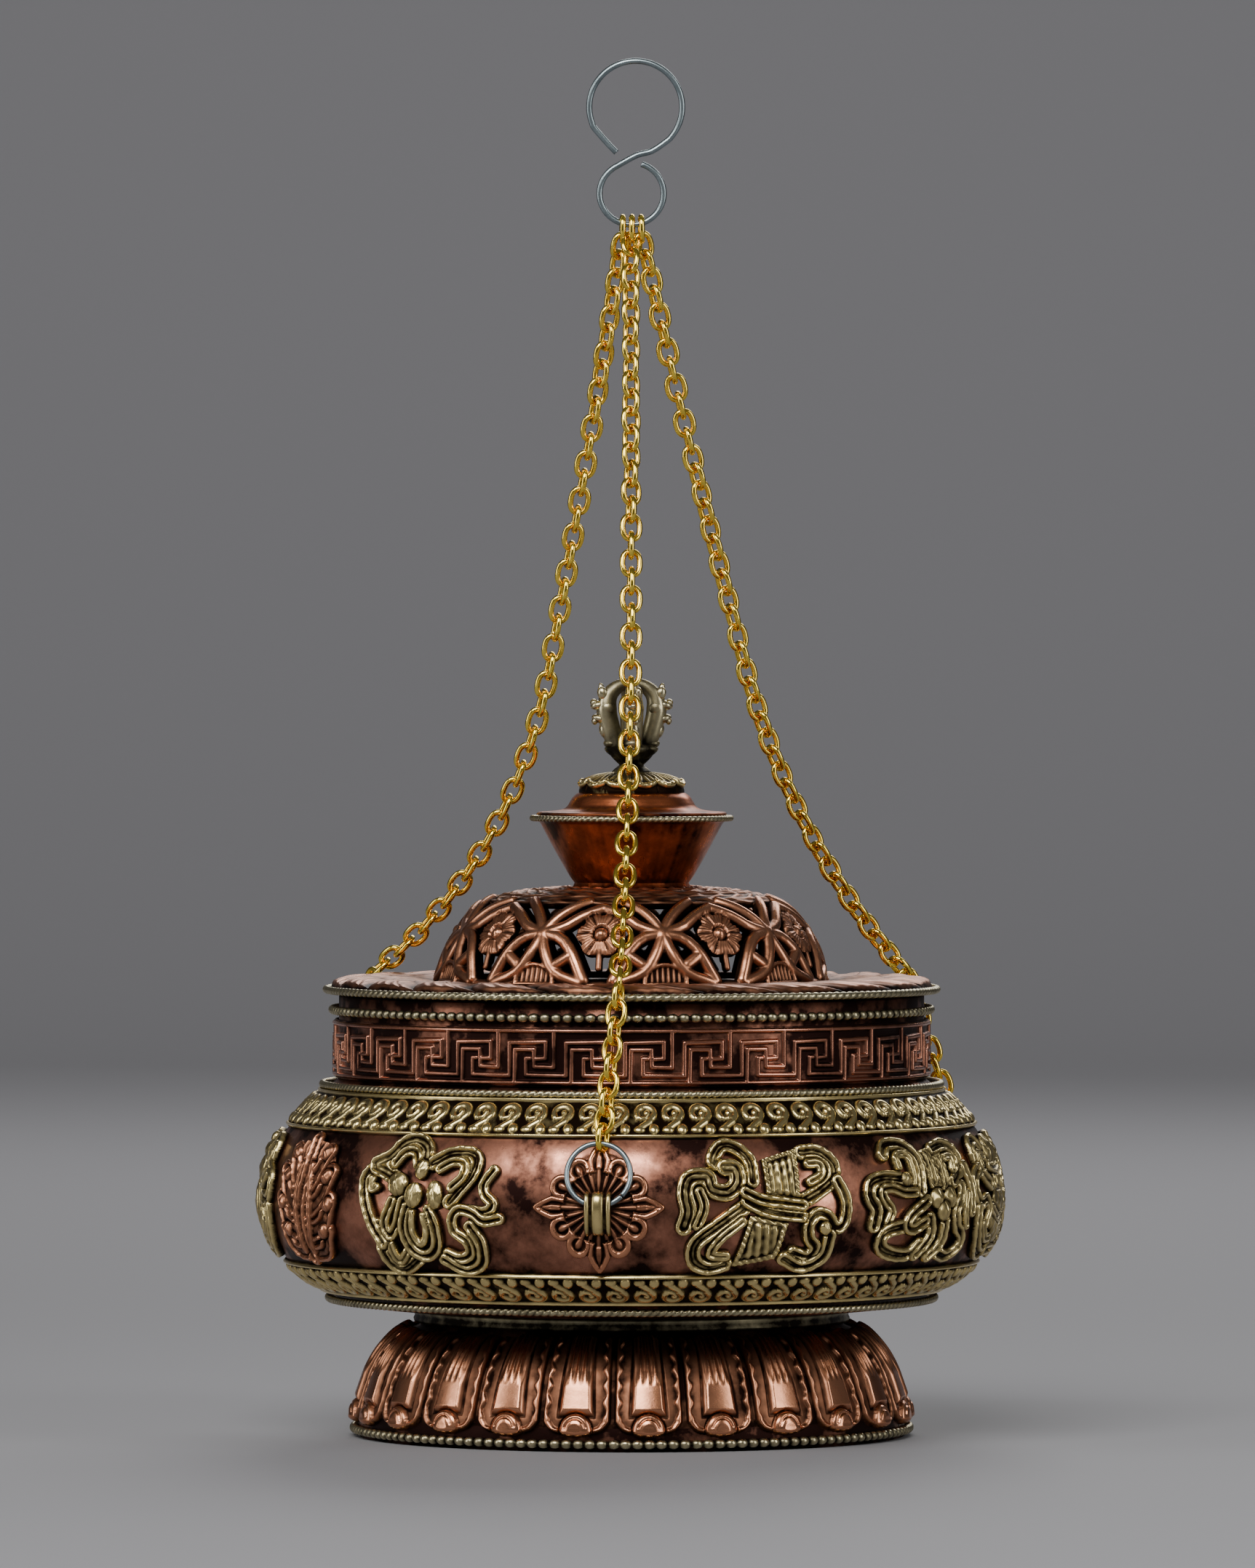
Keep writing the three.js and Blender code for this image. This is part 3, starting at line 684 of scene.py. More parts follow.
dome_side = spline([
    (47.0, 110.2), (46.2, 113), (44.1, 119), (39.4, 126), (34.6, 129.6), (27, 131.6), (18, 132.4),
    (13, 132.9),
], 300)
dome_normals = profile_normals(dome_side)
dome_climb = np.concatenate([[0], np.cumsum(np.linalg.norm(np.diff(dome_side, axis=0), axis=1))])
DOME_RADIUS = 44.0
CELLS_ROUND = 9
CELL = DOME_RADIUS * math.tau / CELLS_ROUND
CROSSING = 13.5  # how far up the side the bars cross; the flowers are level with it
BOSS, FLOWER, FLOWER_PETALS = 2.9, 6.3, 6
STALK = [(0, 9), (0, 4.6)]  # the short bar that holds each flower from below


def on_dome(u, v, out):
    """A place on the dome from the distance round it and the distance up its side."""
    r, z, nr, nz = (np.interp(v, dome_climb, c) for c in (*dome_side.T, *dome_normals.T))
    r, z, a = r + nr * out, z + nz * out, u / DOME_RADIUS
    return np.stack([r * np.sin(a), -r * np.cos(a), z], -1)


def both_ways(line):
    """A line and its mirror image."""
    return [line, [(-x, y) for x, y in line]]


BARS = [line for half in (
    [(0, 13.5), (5, 12.3), (8.5, 8.5), (11.8, 1.5)],
    [(0, 13.5), (1.8, 8.5), (5, 3.5), (11, 0.8)],
    [(5.2, 5.4), (8.0, 7.4)],
    [(0, 13.5), (2.2, 17.5), (5.5, 21), (10, 24.5)],
    [(0, 13.5), (5.5, 15.5), (9.5, 18.5), (15.36, 21.5)],
) for line in both_ways([tuple(p) for p in spline(half, 9)])]


def in_cell(u):
    """The distances from the nearest boss's and the nearest flower's centre lines."""
    x = (u - DOME_RADIUS * math.radians(10) + CELL / 2) % CELL - CELL / 2
    side = np.where(x > 0, x - CELL / 2, x + CELL / 2)
    return x, side


def nearest_bar(x, v):
    """The distance to the lattice's nearest bar, also when that bar belongs to the next cell."""
    best = np.full(np.shape(x), 1e9)
    for line in BARS:
        best = np.minimum(best, distance_to(x, v, line))
        if max(abs(px) for px, _ in line) > CELL / 2 - 2:
            for shift in (-CELL, CELL):
                best = np.minimum(best, distance_to(x + shift, v, line))
    return best


def flower(x, y):
    """How far inside a flower's outline a place is."""
    lobed = np.abs(np.cos(np.arctan2(y, x) * FLOWER_PETALS / 2)) ** 0.8
    return FLOWER * (0.80 + 0.20 * lobed) - np.hypot(x, y)


def comb_depth(x, v):
    """How far inside the half-round comb at the foot of a cell a place is."""
    return np.minimum(5.3 - np.hypot(x, (v - 0.8) * 1.05), v)


def dome_inside(u, v):
    x, side = in_cell(u)
    f = 1.5 - nearest_bar(x, v)
    f = np.maximum(f, BOSS - np.hypot(x, v - CROSSING))
    f = np.maximum(f, flower(side, v - CROSSING))
    f = np.maximum(f, comb_depth(x, v))
    f = np.maximum(f, 0.8 - distance_to(side, v, STALK))
    return np.maximum(np.maximum(f, 1.5 - v), v - 23.6)


def dome_height(u, v):
    x, side = in_cell(u)
    h = ridge(nearest_bar(x, v), 1.56) * 1.6
    rho = np.hypot(side, v - CROSSING)
    angle = np.arctan2(v - CROSSING, side)
    bloom = flower(side, v - CROSSING)
    veins = 0.5 + 0.5 * np.cos(angle * 36)
    domed = 0.55 + 0.35 * np.clip(bloom / 1.2, 0, 1) + 0.30 * veins * (rho > 1.9)
    splits = np.clip(1 - np.abs(np.sin(angle * FLOWER_PETALS / 2)) / 0.16, 0, 1) * (rho > 2)
    petal = np.where(bloom > 0, domed, 0) * (1 - 0.7 * splits)
    centre = knob(side, v, 0, CROSSING, 1.6, 1.6) * 1.5
    petal = np.maximum(petal * (np.abs(rho - 1.9) > 0.28), centre)
    h = np.maximum(np.where(bloom > 0, 0, h), petal)
    h = np.maximum(h, knob(x, v, 0, CROSSING, BOSS, BOSS) * 1.75)
    comb = comb_depth(x, v)
    teeth = (0.5 + 0.5 * np.cos(x * math.tau / 1.25)) * (comb > 1.0) * (comb < 3.6)
    h = np.maximum(h, np.where(comb > 0, 0.9 - 0.5 * teeth + ridge(comb - 0.5, 0.5) * 0.3, 0))
    h = np.maximum(h, ridge(distance_to(side, v, STALK), 0.8) * 0.7)
    h = np.maximum(h, np.clip(1.6 - v, 0, 1) * 0.8)
    leaf = 0.5 + 0.5 * np.cos(math.tau * (u / CELL * 3 + 0.5 * np.sin(v * 0.8)))
    crown = np.clip((v - 23.2) / 0.8, 0, 1) * (0.5 + 0.45 * leaf**2 + 0.1 * np.cos(v * 2.6 + 3 * leaf))
    return np.maximum(h, crown * np.clip((dome_climb[-1] - v) / 3, 0, 1)) + 0.08


cut_plate("pierced_dome", (0, CELL * CELLS_ROUND), (0, dome_climb[-1] - 0.1), 0.26, dome_inside,
          dome_height, on_dome, 1.0, "lid", "bright_copper", wrap=True, cells=4, gain=1.9, base=0.33,
          replaces=["lid_dome"])


# %% Chimney cup, cap and collar
rng = np.random.default_rng(5)  # the links' small turns are drawn from it too
cup = np.array([
    (12.7, 133.2), (13.6, 133.0), (14.3, 133.5), (13.9, 134.4), (15.3, 136.4), (18.5, 142),
    (21.8, 148.2), (22.5, 149.2), (23.4, 149.6), (23.4, 150.2), (21.8, 150.3), (20.9, 149.4),
    (17.3, 142.2), (13.4, 135.2),
])
cup = np.vstack([cup[:3], spline(cup[3:8], 60), cup[8:]])
cup_r, cup_z = cup[:, :1], cup[:, 1:]
CUP_COLUMNS = 360
azimuths = np.linspace(0, math.tau, CUP_COLUMNS, endpoint=False)[None]
# the streaks are a few waves round the cup, and each wanders a little on its way up
streaks = sum(
    np.cos(azimuths * k + rng.uniform(0, 6.3) + 0.25 * np.sin(cup_z * 0.5 + k)) / k**0.35
    for k in (7, 13, 19, 31, 44, 71)
)
rise = np.clip((cup_z - 134) / 14, 0, 1)
wear = np.clip(0.62 + 0.17 * streaks - 0.55 * np.abs(rise - 0.45) ** 1.5, 0, 1)
make_piece("smoke_cup_cone", turn(cup_r, cup_z, azimuths), grid_faces(len(cup), CUP_COLUMNS, True),
           "lid", "red_copper", wear=wear.ravel(), replaces=["smoke_cup"])

cap_side = spline([
    (23.2, 151.0), (22.6, 151.6), (19.0, 151.9), (16.8, 152.3), (15.7, 153.0), (15.0, 154.1),
    (14.1, 155.4), (12.4, 156.4), (8, 156.9),
], 60)
cap_under = [(2.8, 156.9), (2.8, 155.9), (11.0, 155.6), (17.4, 151.2), (22.6, 150.7)]
cap_wear = np.interp(cap_side[:, 1], [151, 152.1, 153.2, 155, 156.8], [0.3, 0.35, 0.5, 0.75, 0.5])
turned_piece("cup_cap_turned", np.vstack([cap_side, cap_under]), "lid", "red_copper",
             wear=np.concatenate([cap_wear, [0.1] * len(cap_under)]), replaces=["cup_cap"])

collar_side = spline([
    (12.6, 156.2), (12.5, 157.2), (11.6, 158.7), (9, 159.9), (6, 160.5), (3.2, 160.8),
], 70)
SCALLOPS = 12
lap = np.linspace(0, SCALLOPS, SCALLOPS * 64, endpoint=False)[None]
t = np.linspace(0, 1, len(collar_side))[:, None]
u = np.abs((lap % 1) - 0.5) * 2
edge = t - 0.10 - 0.09 * u**2
plate = np.clip(edge / 0.05, 0, 1) * (1 - 0.5 * t)
curls = np.cos(math.tau * (2 * u + 1.4 * t)) * np.clip(edge * 6, 0, 1)
seams = np.clip(1 - (1 - u) / 0.07, 0, 1)
collar = 0.25 + 0.55 * plate + ridge(edge - 0.05, 0.06) * 0.55 + 0.13 * curls - 0.4 * seams
relief_band("scalloped_collar", collar_side, np.clip(collar, 0, None), 0.6, "lid", "aged_brass",
            gain=2.2, replaces=["petal_collar"])


# %% [markdown]
# ## The finial
# The finial is a cast half-thunderbolt. Four prongs rise from a knot, bulge outwards and meet at
# the top, and a snarling water beast's snout sticks out of each. The prongs are tubes of changing
# thickness, and the snouts are lumps pressed into them, as they would be in the wax.

# %% Tubes and lumps
def tube_points(path, radius, around=12, closed=False):
    """Rings of points along a path, without twist, and the faces between them."""
    path = np.asarray(path, float)
    count = len(path)
    if closed:
        way = np.roll(path, -1, 0) - np.roll(path, 1, 0)
    else:
        way = np.gradient(path, axis=0)
    way /= np.linalg.norm(way, axis=1)[:, None] + 1e-12
    first = np.cross(way[0], (0, 0, 1.0))
    if np.linalg.norm(first) < 0.2:
        first = np.cross(way[0], (0, 1.0, 0))
    side = [first / np.linalg.norm(first)]
    for k in range(1, count):
        s = side[-1] - way[k] * (side[-1] @ way[k])
        side.append(s / np.linalg.norm(s))
    side = np.array(side)
    other = np.cross(way, side)
    t = np.linspace(0, math.tau, around, endpoint=False)
    radius = np.broadcast_to(radius, (count,))[:, None, None]
    ring = side[:, None] * np.cos(t)[None, :, None] + other[:, None] * np.sin(t)[None, :, None]
    points = (path[:, None] + ring * radius).reshape(-1, 3)
    faces = grid_faces(count, around, close_rows=closed).tolist()
    if not closed:
        faces += [list(range(around))[::-1], list(range((count - 1) * around, count * around))]
    return points, faces


def lump_points(centre, half, lean=0.0, around=20, rings=12):
    """A ball squashed to half sizes along out, across and up, leaning in the out-up plane."""
    t = np.linspace(0.06, math.pi - 0.06, rings)[:, None]
    a = np.linspace(0, math.tau, around, endpoint=False)[None]
    ball = np.stack([np.sin(t) * np.cos(a), np.sin(t) * np.sin(a), np.cos(t) + 0 * a], -1)
    ball = ball.reshape(-1, 3) * half
    c, s = math.cos(lean), math.sin(lean)
    ball = np.stack([ball[:, 0] * c - ball[:, 2] * s, ball[:, 1], ball[:, 0] * s + ball[:, 2] * c], 1)
    faces = grid_faces(rings, around)[:, ::-1].tolist()
    faces += [list(range(around)), list(range((rings - 1) * around, rings * around))[::-1]]
    return ball + np.asarray(centre), faces


def join_parts(parts):
    """Several (points, faces) pairs as one."""
    points, faces, start = [], [], 0
    for p, f in parts:
        points.append(p)
        faces += [[i + start for i in face] for face in f]
        start += len(p)
    return np.vstack(points), faces


def face_towards(points, azimuth):
    """Points given as (out, across, up) about the axis, turned to an azimuth."""
    a = math.radians(azimuth)
    c, s = math.cos(a), math.sin(a)
    out, across, up = points.T
    return np.stack([out * s + across * c, across * s - out * c, up], 1)


# %% Half-thunderbolt
prong_path = spline([
    (1.4, 0, 163.9), (3.4, 0, 166.6), (4.4, 0, 169.6), (5.4, 0, 173), (6.1, 0, 176.5),
    (5.5, 0, 179.8), (3.3, 0, 182.1), (0.2, 0, 183.1),
], 44)
prong_width = np.interp(np.linspace(0, 1, len(prong_path)), [0, 0.15, 0.4, 0.6, 0.75, 0.88, 1],
                        [1.7, 2.2, 2.4, 2.5, 2.0, 1.6, 1.3])
# each lump's centre, half sizes and lean
PRONG_LUMPS = (
    ((8.0, 0, 177.6), (2.1, 1.9, 1.25), -0.2),  # upper lip
    ((9.2, 0, 178.2), (0.95, 1.4, 0.95), 0.0),  # nostrils
    ((7.6, 0, 174.2), (2.2, 1.8, 1.15), 0.3),  # lower lip
    ((9.0, 0, 173.7), (0.8, 1.2, 0.95), 0.0),
    ((6.9, 0, 175.9), (1.6, 1.3, 1.2), 0.0),  # tongue
    ((7.0, 1.2, 180.4), (1.3, 0.95, 1.7), -0.35),  # brows
    ((7.0, -1.2, 180.4), (1.3, 0.95, 1.7), -0.35),
    ((7.3, 0, 181.4), (0.8, 0.8, 1.6), -0.2),  # horn
    ((5.8, 1.7, 176.8), (1.7, 0.9, 1.6), 0.3),  # cheeks
    ((5.8, -1.7, 176.8), (1.7, 0.9, 1.6), 0.3),
    ((6.3, 0, 171.4), (1.6, 1.6, 2.2), -0.35),  # throat
    ((5.0, 0, 168.2), (1.9, 2.2, 1.2), 0.1),  # cuff
)
parts = []
for azimuth in (4, 94, 184, 274):
    shaped = [tube_points(prong_path, prong_width, 16)]
    shaped += [lump_points(*lump) for lump in PRONG_LUMPS]
    for points, faces in shaped:
        parts.append((face_towards(points, azimuth), faces))
stem_side = spline([
    (2.0, 160.6), (4.7, 161.0), (4.2, 162.0), (2.9, 163.1), (2.8, 163.9), (4.6, 165.2),
    (5.9, 166.6), (5.7, 167.5), (3.9, 168.2), (0.05, 168.4),
], 50)
rows, columns = len(stem_side), 96
a = np.linspace(0, math.tau, columns, endpoint=False)[None]
knot_rise = np.clip((stem_side[:, 1:] - 163) / 3, 0, 1)
lobes = 1 + 0.09 * np.cos(4 * a + 0.3) * knot_rise + 0.02 * np.cos(9 * a + 1)
stem = turn(stem_side[:, :1] * lobes, stem_side[:, 1:], a)
stem_ends = [list(range(columns))[::-1], list(range((rows - 1) * columns, rows * columns))]
parts.append((stem, grid_faces(rows, columns).tolist() + stem_ends))
parts.append(lump_points((0, 0, 183.4), (1.5, 1.5, 0.8)))
parts.append(lump_points((0, 0, 169.2), (2.0, 2.0, 2.2)))
parts.append(tube_points([(0, 0, 152), (0, 0, 155), (0, 0, 161)], 2.1, 24))
points, faces = join_parts(parts)
reach = np.hypot(points[:, 0], points[:, 1])
# painted highlight and shade: the finial is lighter towards its top and on its outermost lumps, and dark at
# the stem
wear = np.clip((points[:, 2] - 167) / 14, 0, 0.4) + np.clip((reach - 5.6) / 3, 0, 0.6) + 0.06
make_piece("thunderbolt_finial", points, faces, "lid", "dark_brass", wear=wear, replaces=["finial"])


# %% [markdown]
# ## Chains, rings and hook
# A chain is one short oval link repeated, each a quarter turn from the last. Links are placed by
# length along the chain's line, one inside length apart, so they touch where real links would.
# Each run of a chain is one mesh, which rides on the body that the run belongs to.

# %% One link and a run of links
WIRE, LINK_LONG, LINK_WIDE = 1.42, 7.4, 5.7
LINK_AROUND = 12  # points round the wire
link_t = np.linspace(0, math.tau, 32, endpoint=False)
link_loop = np.stack([
    (LINK_LONG - WIRE) / 2 * np.sign(np.cos(link_t)) * np.abs(np.cos(link_t)) ** 0.88,
    (LINK_WIDE - WIRE) / 2 * np.sign(np.sin(link_t)) * np.abs(np.sin(link_t)) ** 0.82,
    0 * link_t,
], 1)
LINK_POINTS, LINK_FACES = tube_points(link_loop, WIRE / 2, LINK_AROUND, closed=True)
# painted shade: the inner side of a link's wire, facing its hole and the next link, is darker than its
# outer side
ring_reach = np.hypot(link_loop[:, 0] / 1.4, link_loop[:, 1])
point_reach = np.hypot(LINK_POINTS[:, 0] / 1.4, LINK_POINTS[:, 1])
LINK_PAINTED_SHADE = np.clip(0.55 + 0.5 * (point_reach - np.repeat(ring_reach, LINK_AROUND)), 0, 1)


def curve_at(line, gone, wanted):
    """The place on a line at a wanted length, where gone is the length at each of its points."""
    return np.stack([np.interp(wanted, gone, line[:, k]) for k in range(3)], -1)


def link_run(run, line, first, last, twist, side_on, links_above=0):
    """Makes the links of one run between two lengths along a line, and returns how many there are.
    twist holds link numbers, counted down from the topmost, and the chain's twist there in degrees."""
    line = np.asarray(line, float)
    gone = np.concatenate([[0], np.cumsum(np.linalg.norm(np.diff(line, axis=0), axis=1))])
    count = max(1, int(round((last - first) / (LINK_LONG - 2 * WIRE))))
    pitch = (last - first) / count
    parts = []
    for k in range(count):
        middle = first + (k + 0.5) * pitch
        ahead = curve_at(line, gone, middle + pitch / 2)
        behind = curve_at(line, gone, middle - pitch / 2)
        way = ahead - behind
        way /= np.linalg.norm(way)
        across = np.asarray(side_on, float)
        across = across - way * (across @ way)
        across /= np.linalg.norm(across)
        number = links_above + count - 1 - k
        roll = math.radians(90 * number + np.interp(number, *twist) + rng.uniform(-5, 5))
        lift = np.cross(way, across)
        wide = across * math.cos(roll) + lift * math.sin(roll)
        thin = np.cross(way, wide)
        parts.append(((LINK_POINTS @ np.array([way, wide, thin])) + (ahead + behind) / 2, LINK_FACES))
    points, faces = join_parts(parts)
    make_piece(f"links_{run}", points, faces, f"chain_{run}", "gold_plate",
               wear=np.tile(LINK_PAINTED_SHADE, count), replaces=[f"chain_{run}"])
    return count


# %% Three stations of ring and chain
STATIONS = {"front": -5, "right": 115, "left": 235}
HALF_SAG = {"front": 6.5, "right": 6.5, "left": 10.8}
MIDDLES = {"front": (28.95, 196.59), "right": (28.95, 196.59), "left": (22.95, 194.09)}
LUG, RIM, TOP = np.array([91.8, 59.9]), np.array([77.9, 111.2]), np.array([2.9, 291.5])
RING_WIRE, RING_RADIUS = 1.35, (16.45 - 1.35) / 2
RING_CUT, RING_GAP = math.radians(-42), 0.035  # where the cut is and how wide, as angles
pull = (RIM - LUG) / np.linalg.norm(RIM - LUG)
ring_top = LUG + pull * 2 * RING_RADIUS


def at_station(outward, height, azimuth, across=0.0):
    """A place from its distance out from the axis and its height, at a station."""
    outward, height, across = np.broadcast_arrays(outward, height, across)
    return face_towards(np.stack([outward, across, height], -1).reshape(-1, 3), azimuth)


def slack_half(start, end, sag):
    """Half of the slack run, sagging towards the axis, as (out, up) points."""
    start, end = np.array(start), np.array(end)
    chord = end - start
    control = (start + end) / 2 + np.array([-chord[1], chord[0]]) / np.linalg.norm(chord) * 2 * sag
    t = np.linspace(0, 1, 120)[:, None]
    return (1 - t) ** 2 * start + 2 * t * (1 - t) * control + t**2 * end


# two of the chains hang a little to one side of their lugs, in mm at the ring, the lid and the middle
SIDEWAYS = {"front": (0.6, 3.8, 2.4), "right": (0, 7, 2), "left": (0, 0, 0)}
BEND_SLACK = 0.25  # room for two links to turn on each other where a chain bends
GATHER = 280.0  # the height from which the chains bend towards the hook
HOOK_LOOP = 295.25  # the bottom of the hook's lower loop
HANG = {"front": 0.1, "right": 2.3, "left": -2.2}  # where along that loop each chain hangs
LOWER_TWIST = ([0], [68])
TWISTS = {
    "front": ([0, 2, 13, 18, 44], [0, 42, 40, 8, 4]),
    "right": ([0, 1, 4, 7, 11, 14, 44], [0, 28, 26, 6, 4, 30, 34]),
    "left": ([0, 1, 8, 12, 44], [0, 34, 34, 14, 12]),
}
for side, azimuth in STATIONS.items():
    a = math.radians(azimuth)
    across = np.array([math.cos(a), math.sin(a), 0.0])
    # the suspension ring lies in the plane of the pull, and its cut ends meet at the lower right
    t = np.linspace(RING_CUT, RING_CUT + math.tau - RING_GAP, 120)
    outward, height = (LUG + pull * RING_RADIUS * (1 + np.sin(t))[:, None]).T
    loop = at_station(outward, height, azimuth, RING_RADIUS * np.cos(t))
    points, faces = tube_points(loop, RING_WIRE / 2, 16)
    make_piece(f"suspension_ring_{side}", points, faces, f"ring_{side}", "galvanised_steel",
               replaces=[f"ring_{side}"])
    # the lower run is taut: its first link hangs on the ring and its last is at the lid's edge
    shift = SIDEWAYS[side]
    taut = np.linspace(ring_top - pull * WIRE * 0.5, RIM, 40)
    straight = at_station(*taut.T, azimuth, np.linspace(*shift[:2], len(taut)))
    length = np.linalg.norm(straight[-1] - straight[0])
    link_run(f"{side}_lower", straight, -0.1, length, LOWER_TWIST, across)
    low_half = slack_half(RIM, MIDDLES[side], HALF_SAG[side])
    curve = at_station(*low_half.T, azimuth, np.linspace(*shift[1:], len(low_half)))
    gone = np.linalg.norm(np.diff(curve, axis=0), axis=1).sum()
    # the last links bend over to hang side by side on the hook's lower loop
    hang = HANG[side]
    high_half = slack_half(MIDDLES[side], TOP, 0.6)
    to_hook = at_station(*high_half.T, azimuth, np.linspace(shift[2], 0, len(high_half)))
    t = np.clip((to_hook[:, 2] - GATHER) / (TOP[1] - GATHER), 0, 1)[:, None] ** 1.5
    target = np.array([hang, 0, TOP[1] + 0.4])
    to_hook = to_hook * (1 - t) + (target + (to_hook - to_hook[-1]) * 0.5) * t
    to_hook = np.vstack([to_hook, [[hang, 0, HOOK_LOOP]]])
    rest = np.linalg.norm(np.diff(to_hook, axis=0), axis=1).sum()
    top_end, middle_end = rest + WIRE / 2, gone - BEND_SLACK
    hung = link_run(f"{side}_top", to_hook, BEND_SLACK, top_end, TWISTS[side], (0, 1, 0))
    link_run(f"{side}_middle", curve, 0, middle_end, TWISTS[side], (0, 1, 0), links_above=hung)


# %% The hook
def arc_points(x, z, rx, rz, start, end, count=40):
    """Points along part of an ellipse that stands upright, between two angles in degrees."""
    t = np.radians(np.linspace(start, end, count))
    return np.stack([x + rx * np.cos(t), 0 * t, z + rz * np.sin(t)], 1)


HOOK_WIRE = 1.5
hook_line = np.vstack([
    [(-3.7, 0, 312.0), (-6.0, 0, 314.4)],
    arc_points(1, 323.05, 11.3, 11.2, 207, -46),
    [(5.0, 0, 312.4), (1.2, 0, 311.3)],
    arc_points(0, 302, 7.8, 7.55, 118, 432),
])
points, faces = tube_points(spline(hook_line, 260), HOOK_WIRE / 2, 18)
make_piece("hanging_hook", points, faces, "hook", "galvanised_steel", replaces=["hook"])


# %% [markdown]
# ## Ornaments on the bowl
# The bowl carries the eight auspicious signs in pressed brass, one leaf and three rosettes in
# copper. A sign is drawn as ribbons laid over each other, plus small seed pods, fluted panels and
# holes. The order matters: what is drawn later lies on top and casts a groove round itself.

# %% Laying a drawing on the bowl's side
BELLY = np.concatenate([[0], np.cumsum(np.linalg.norm(np.diff(BOWL_SIDE, axis=0), axis=1))])
BELLY_NORMALS = profile_normals(BOWL_SIDE)
BELLY_MIDDLE = np.interp(59.3, BOWL_SIDE[:, 1], BELLY)
STAND_OFF = 0.35


def on_bowl(azimuth):
    """A function that puts a flat drawing, centred at an azimuth, onto the bowl's side."""
    def place(u, v, out):
        along = BELLY_MIDDLE + v
        r, z, nr, nz = (np.interp(along, BELLY, c) for c in (*BOWL_SIDE.T, *BELLY_NORMALS.T))
        a = math.radians(azimuth) + u / r
        reach = out + STAND_OFF
        r, z = r + nr * reach, z + nz * reach
        return np.stack([r * np.sin(a), -r * np.cos(a), z], -1)
    return place


def ribbon_face(e, half):
    """The pressed section of a ribbon from the distance inside its edge: rim, groove, raised middle."""
    rim = ridge(e - 0.65, 0.65)
    middle = np.clip((e - 1.5) / 0.3, 0, 1) * 0.3
    return 0.45 + 0.1 * np.clip(e / half, 0, 1) + rim + middle


PLATE = 0.25  # how far the back of a plate is from its drawing's lowest level


class Drawing:
    """Painted relief: every added shape lies over the ones before it."""

    def __init__(self):
        self.shapes = []
        self.holes = []

    def ribbon(self, line, half, smooth=True):
        """A band of one width along a line."""
        if smooth and len(line) > 2:
            line = [tuple(p) for p in spline(line, 4 * len(line))]
        self.shapes.append((lambda u, v: half - distance_to(u, v, line),
                            lambda e, u, v: ribbon_face(e, half)))

    def pod(self, x, y, rx, ry, lean=0.0, grooves=3):
        """A leaning oval boss with grooves across it."""
        c, s = math.cos(lean), math.sin(lean)

        def local(u, v):
            return (u - x) * c + (v - y) * s, (v - y) * c - (u - x) * s

        def face(e, u, v):
            p, _ = local(u, v)
            cut = np.clip(1 - np.abs(np.sin(p * math.pi * grooves / (2 * rx))) / 0.3, 0, 1)
            return 0.8 + 1.3 * np.sqrt(np.clip(e / min(rx, ry), 0, 1)) - 0.22 * cut

        def depth(u, v):
            p, q = local(u, v)
            return (1 - np.hypot(p / rx, q / ry)) * min(rx, ry)

        self.shapes.append((depth, face))

    def panel(self, corners, flutes=5, border=1.5):
        """A four-cornered plate with a rope border and upright flutes."""
        corners = np.array(corners, float)

        def depth(u, v):
            best = np.full(np.shape(u), 1e9)
            for p, q in zip(corners, np.roll(corners, -1, 0)):
                d = q - p
                best = np.minimum(best, ((u - p[0]) * d[1] - (v - p[1]) * d[0]) / np.hypot(*d))
            return best

        left, right = (corners[0] + corners[1]) / 2, (corners[2] + corners[3]) / 2
        way = (right - left) / np.linalg.norm(right - left)
        width = np.linalg.norm(right - left)

        def face(e, u, v):
            along = ((u - left[0]) * way[0] + (v - left[1]) * way[1]) / width
            lines = 0.5 + 0.5 * np.cos(along * math.tau * flutes)
            rope = 0.5 + 0.5 * np.cos((u * 0.8 + v) * math.tau / 1.5)
            return np.where(e < border, 0.8 + ridge(e - 0.7, 0.7) * 0.3 + 0.25 * rope * (e < 1.2),
                            0.7 + 0.45 * lines + 0.4 * np.clip((e - border) / 0.8, 0, 1))

        self.shapes.append((depth, face))

    def hole(self, x, y, r):
        """A round hole through the sheet."""
        self.holes.append((x, y, r))

    def inside(self, u, v):
        """How far inside the whole drawing a place is."""
        depth = np.max([shape(u, v) for shape, _ in self.shapes], axis=0)
        for x, y, r in self.holes:
            depth = np.minimum(depth, np.hypot(u - x, v - y) - r)
        return depth

    def height(self, u, v):
        """The relief, with a slight unevenness all over."""
        total = np.full(np.shape(u), 0.2)
        for shape, face in self.shapes:
            e = shape(u, v)
            groove = np.clip(1 + e / 0.4, 0, 1) * (e < 0)
            total = total * (1 - 0.45 * groove)
            total = np.where(e > 0, face(e, u, v) * np.clip(e / 0.18 + 0.25, 0, 1), total)
        wobble = 0.05 * np.sin(u * 2.1 + 1.3 * np.sin(v * 1.7))
        wobble = wobble + 0.05 * np.sin(v * 2.7 + 1.1 * np.sin(u * 1.9))
        return total + wobble

    def fit(self, name, azimuth, slot, node, span=22.5, tall=17.2):
        """Cuts the drawing out of sheet and lays it on the bowl in place of a plain solid."""
        cut_plate(name, (-span, span), (-tall, tall), 0.17, self.inside, self.height,
                  on_bowl(azimuth), PLATE, "bowl", slot, cells=7, gain=3.2, level=0.4, base=0.3,
                  replaces=[node])


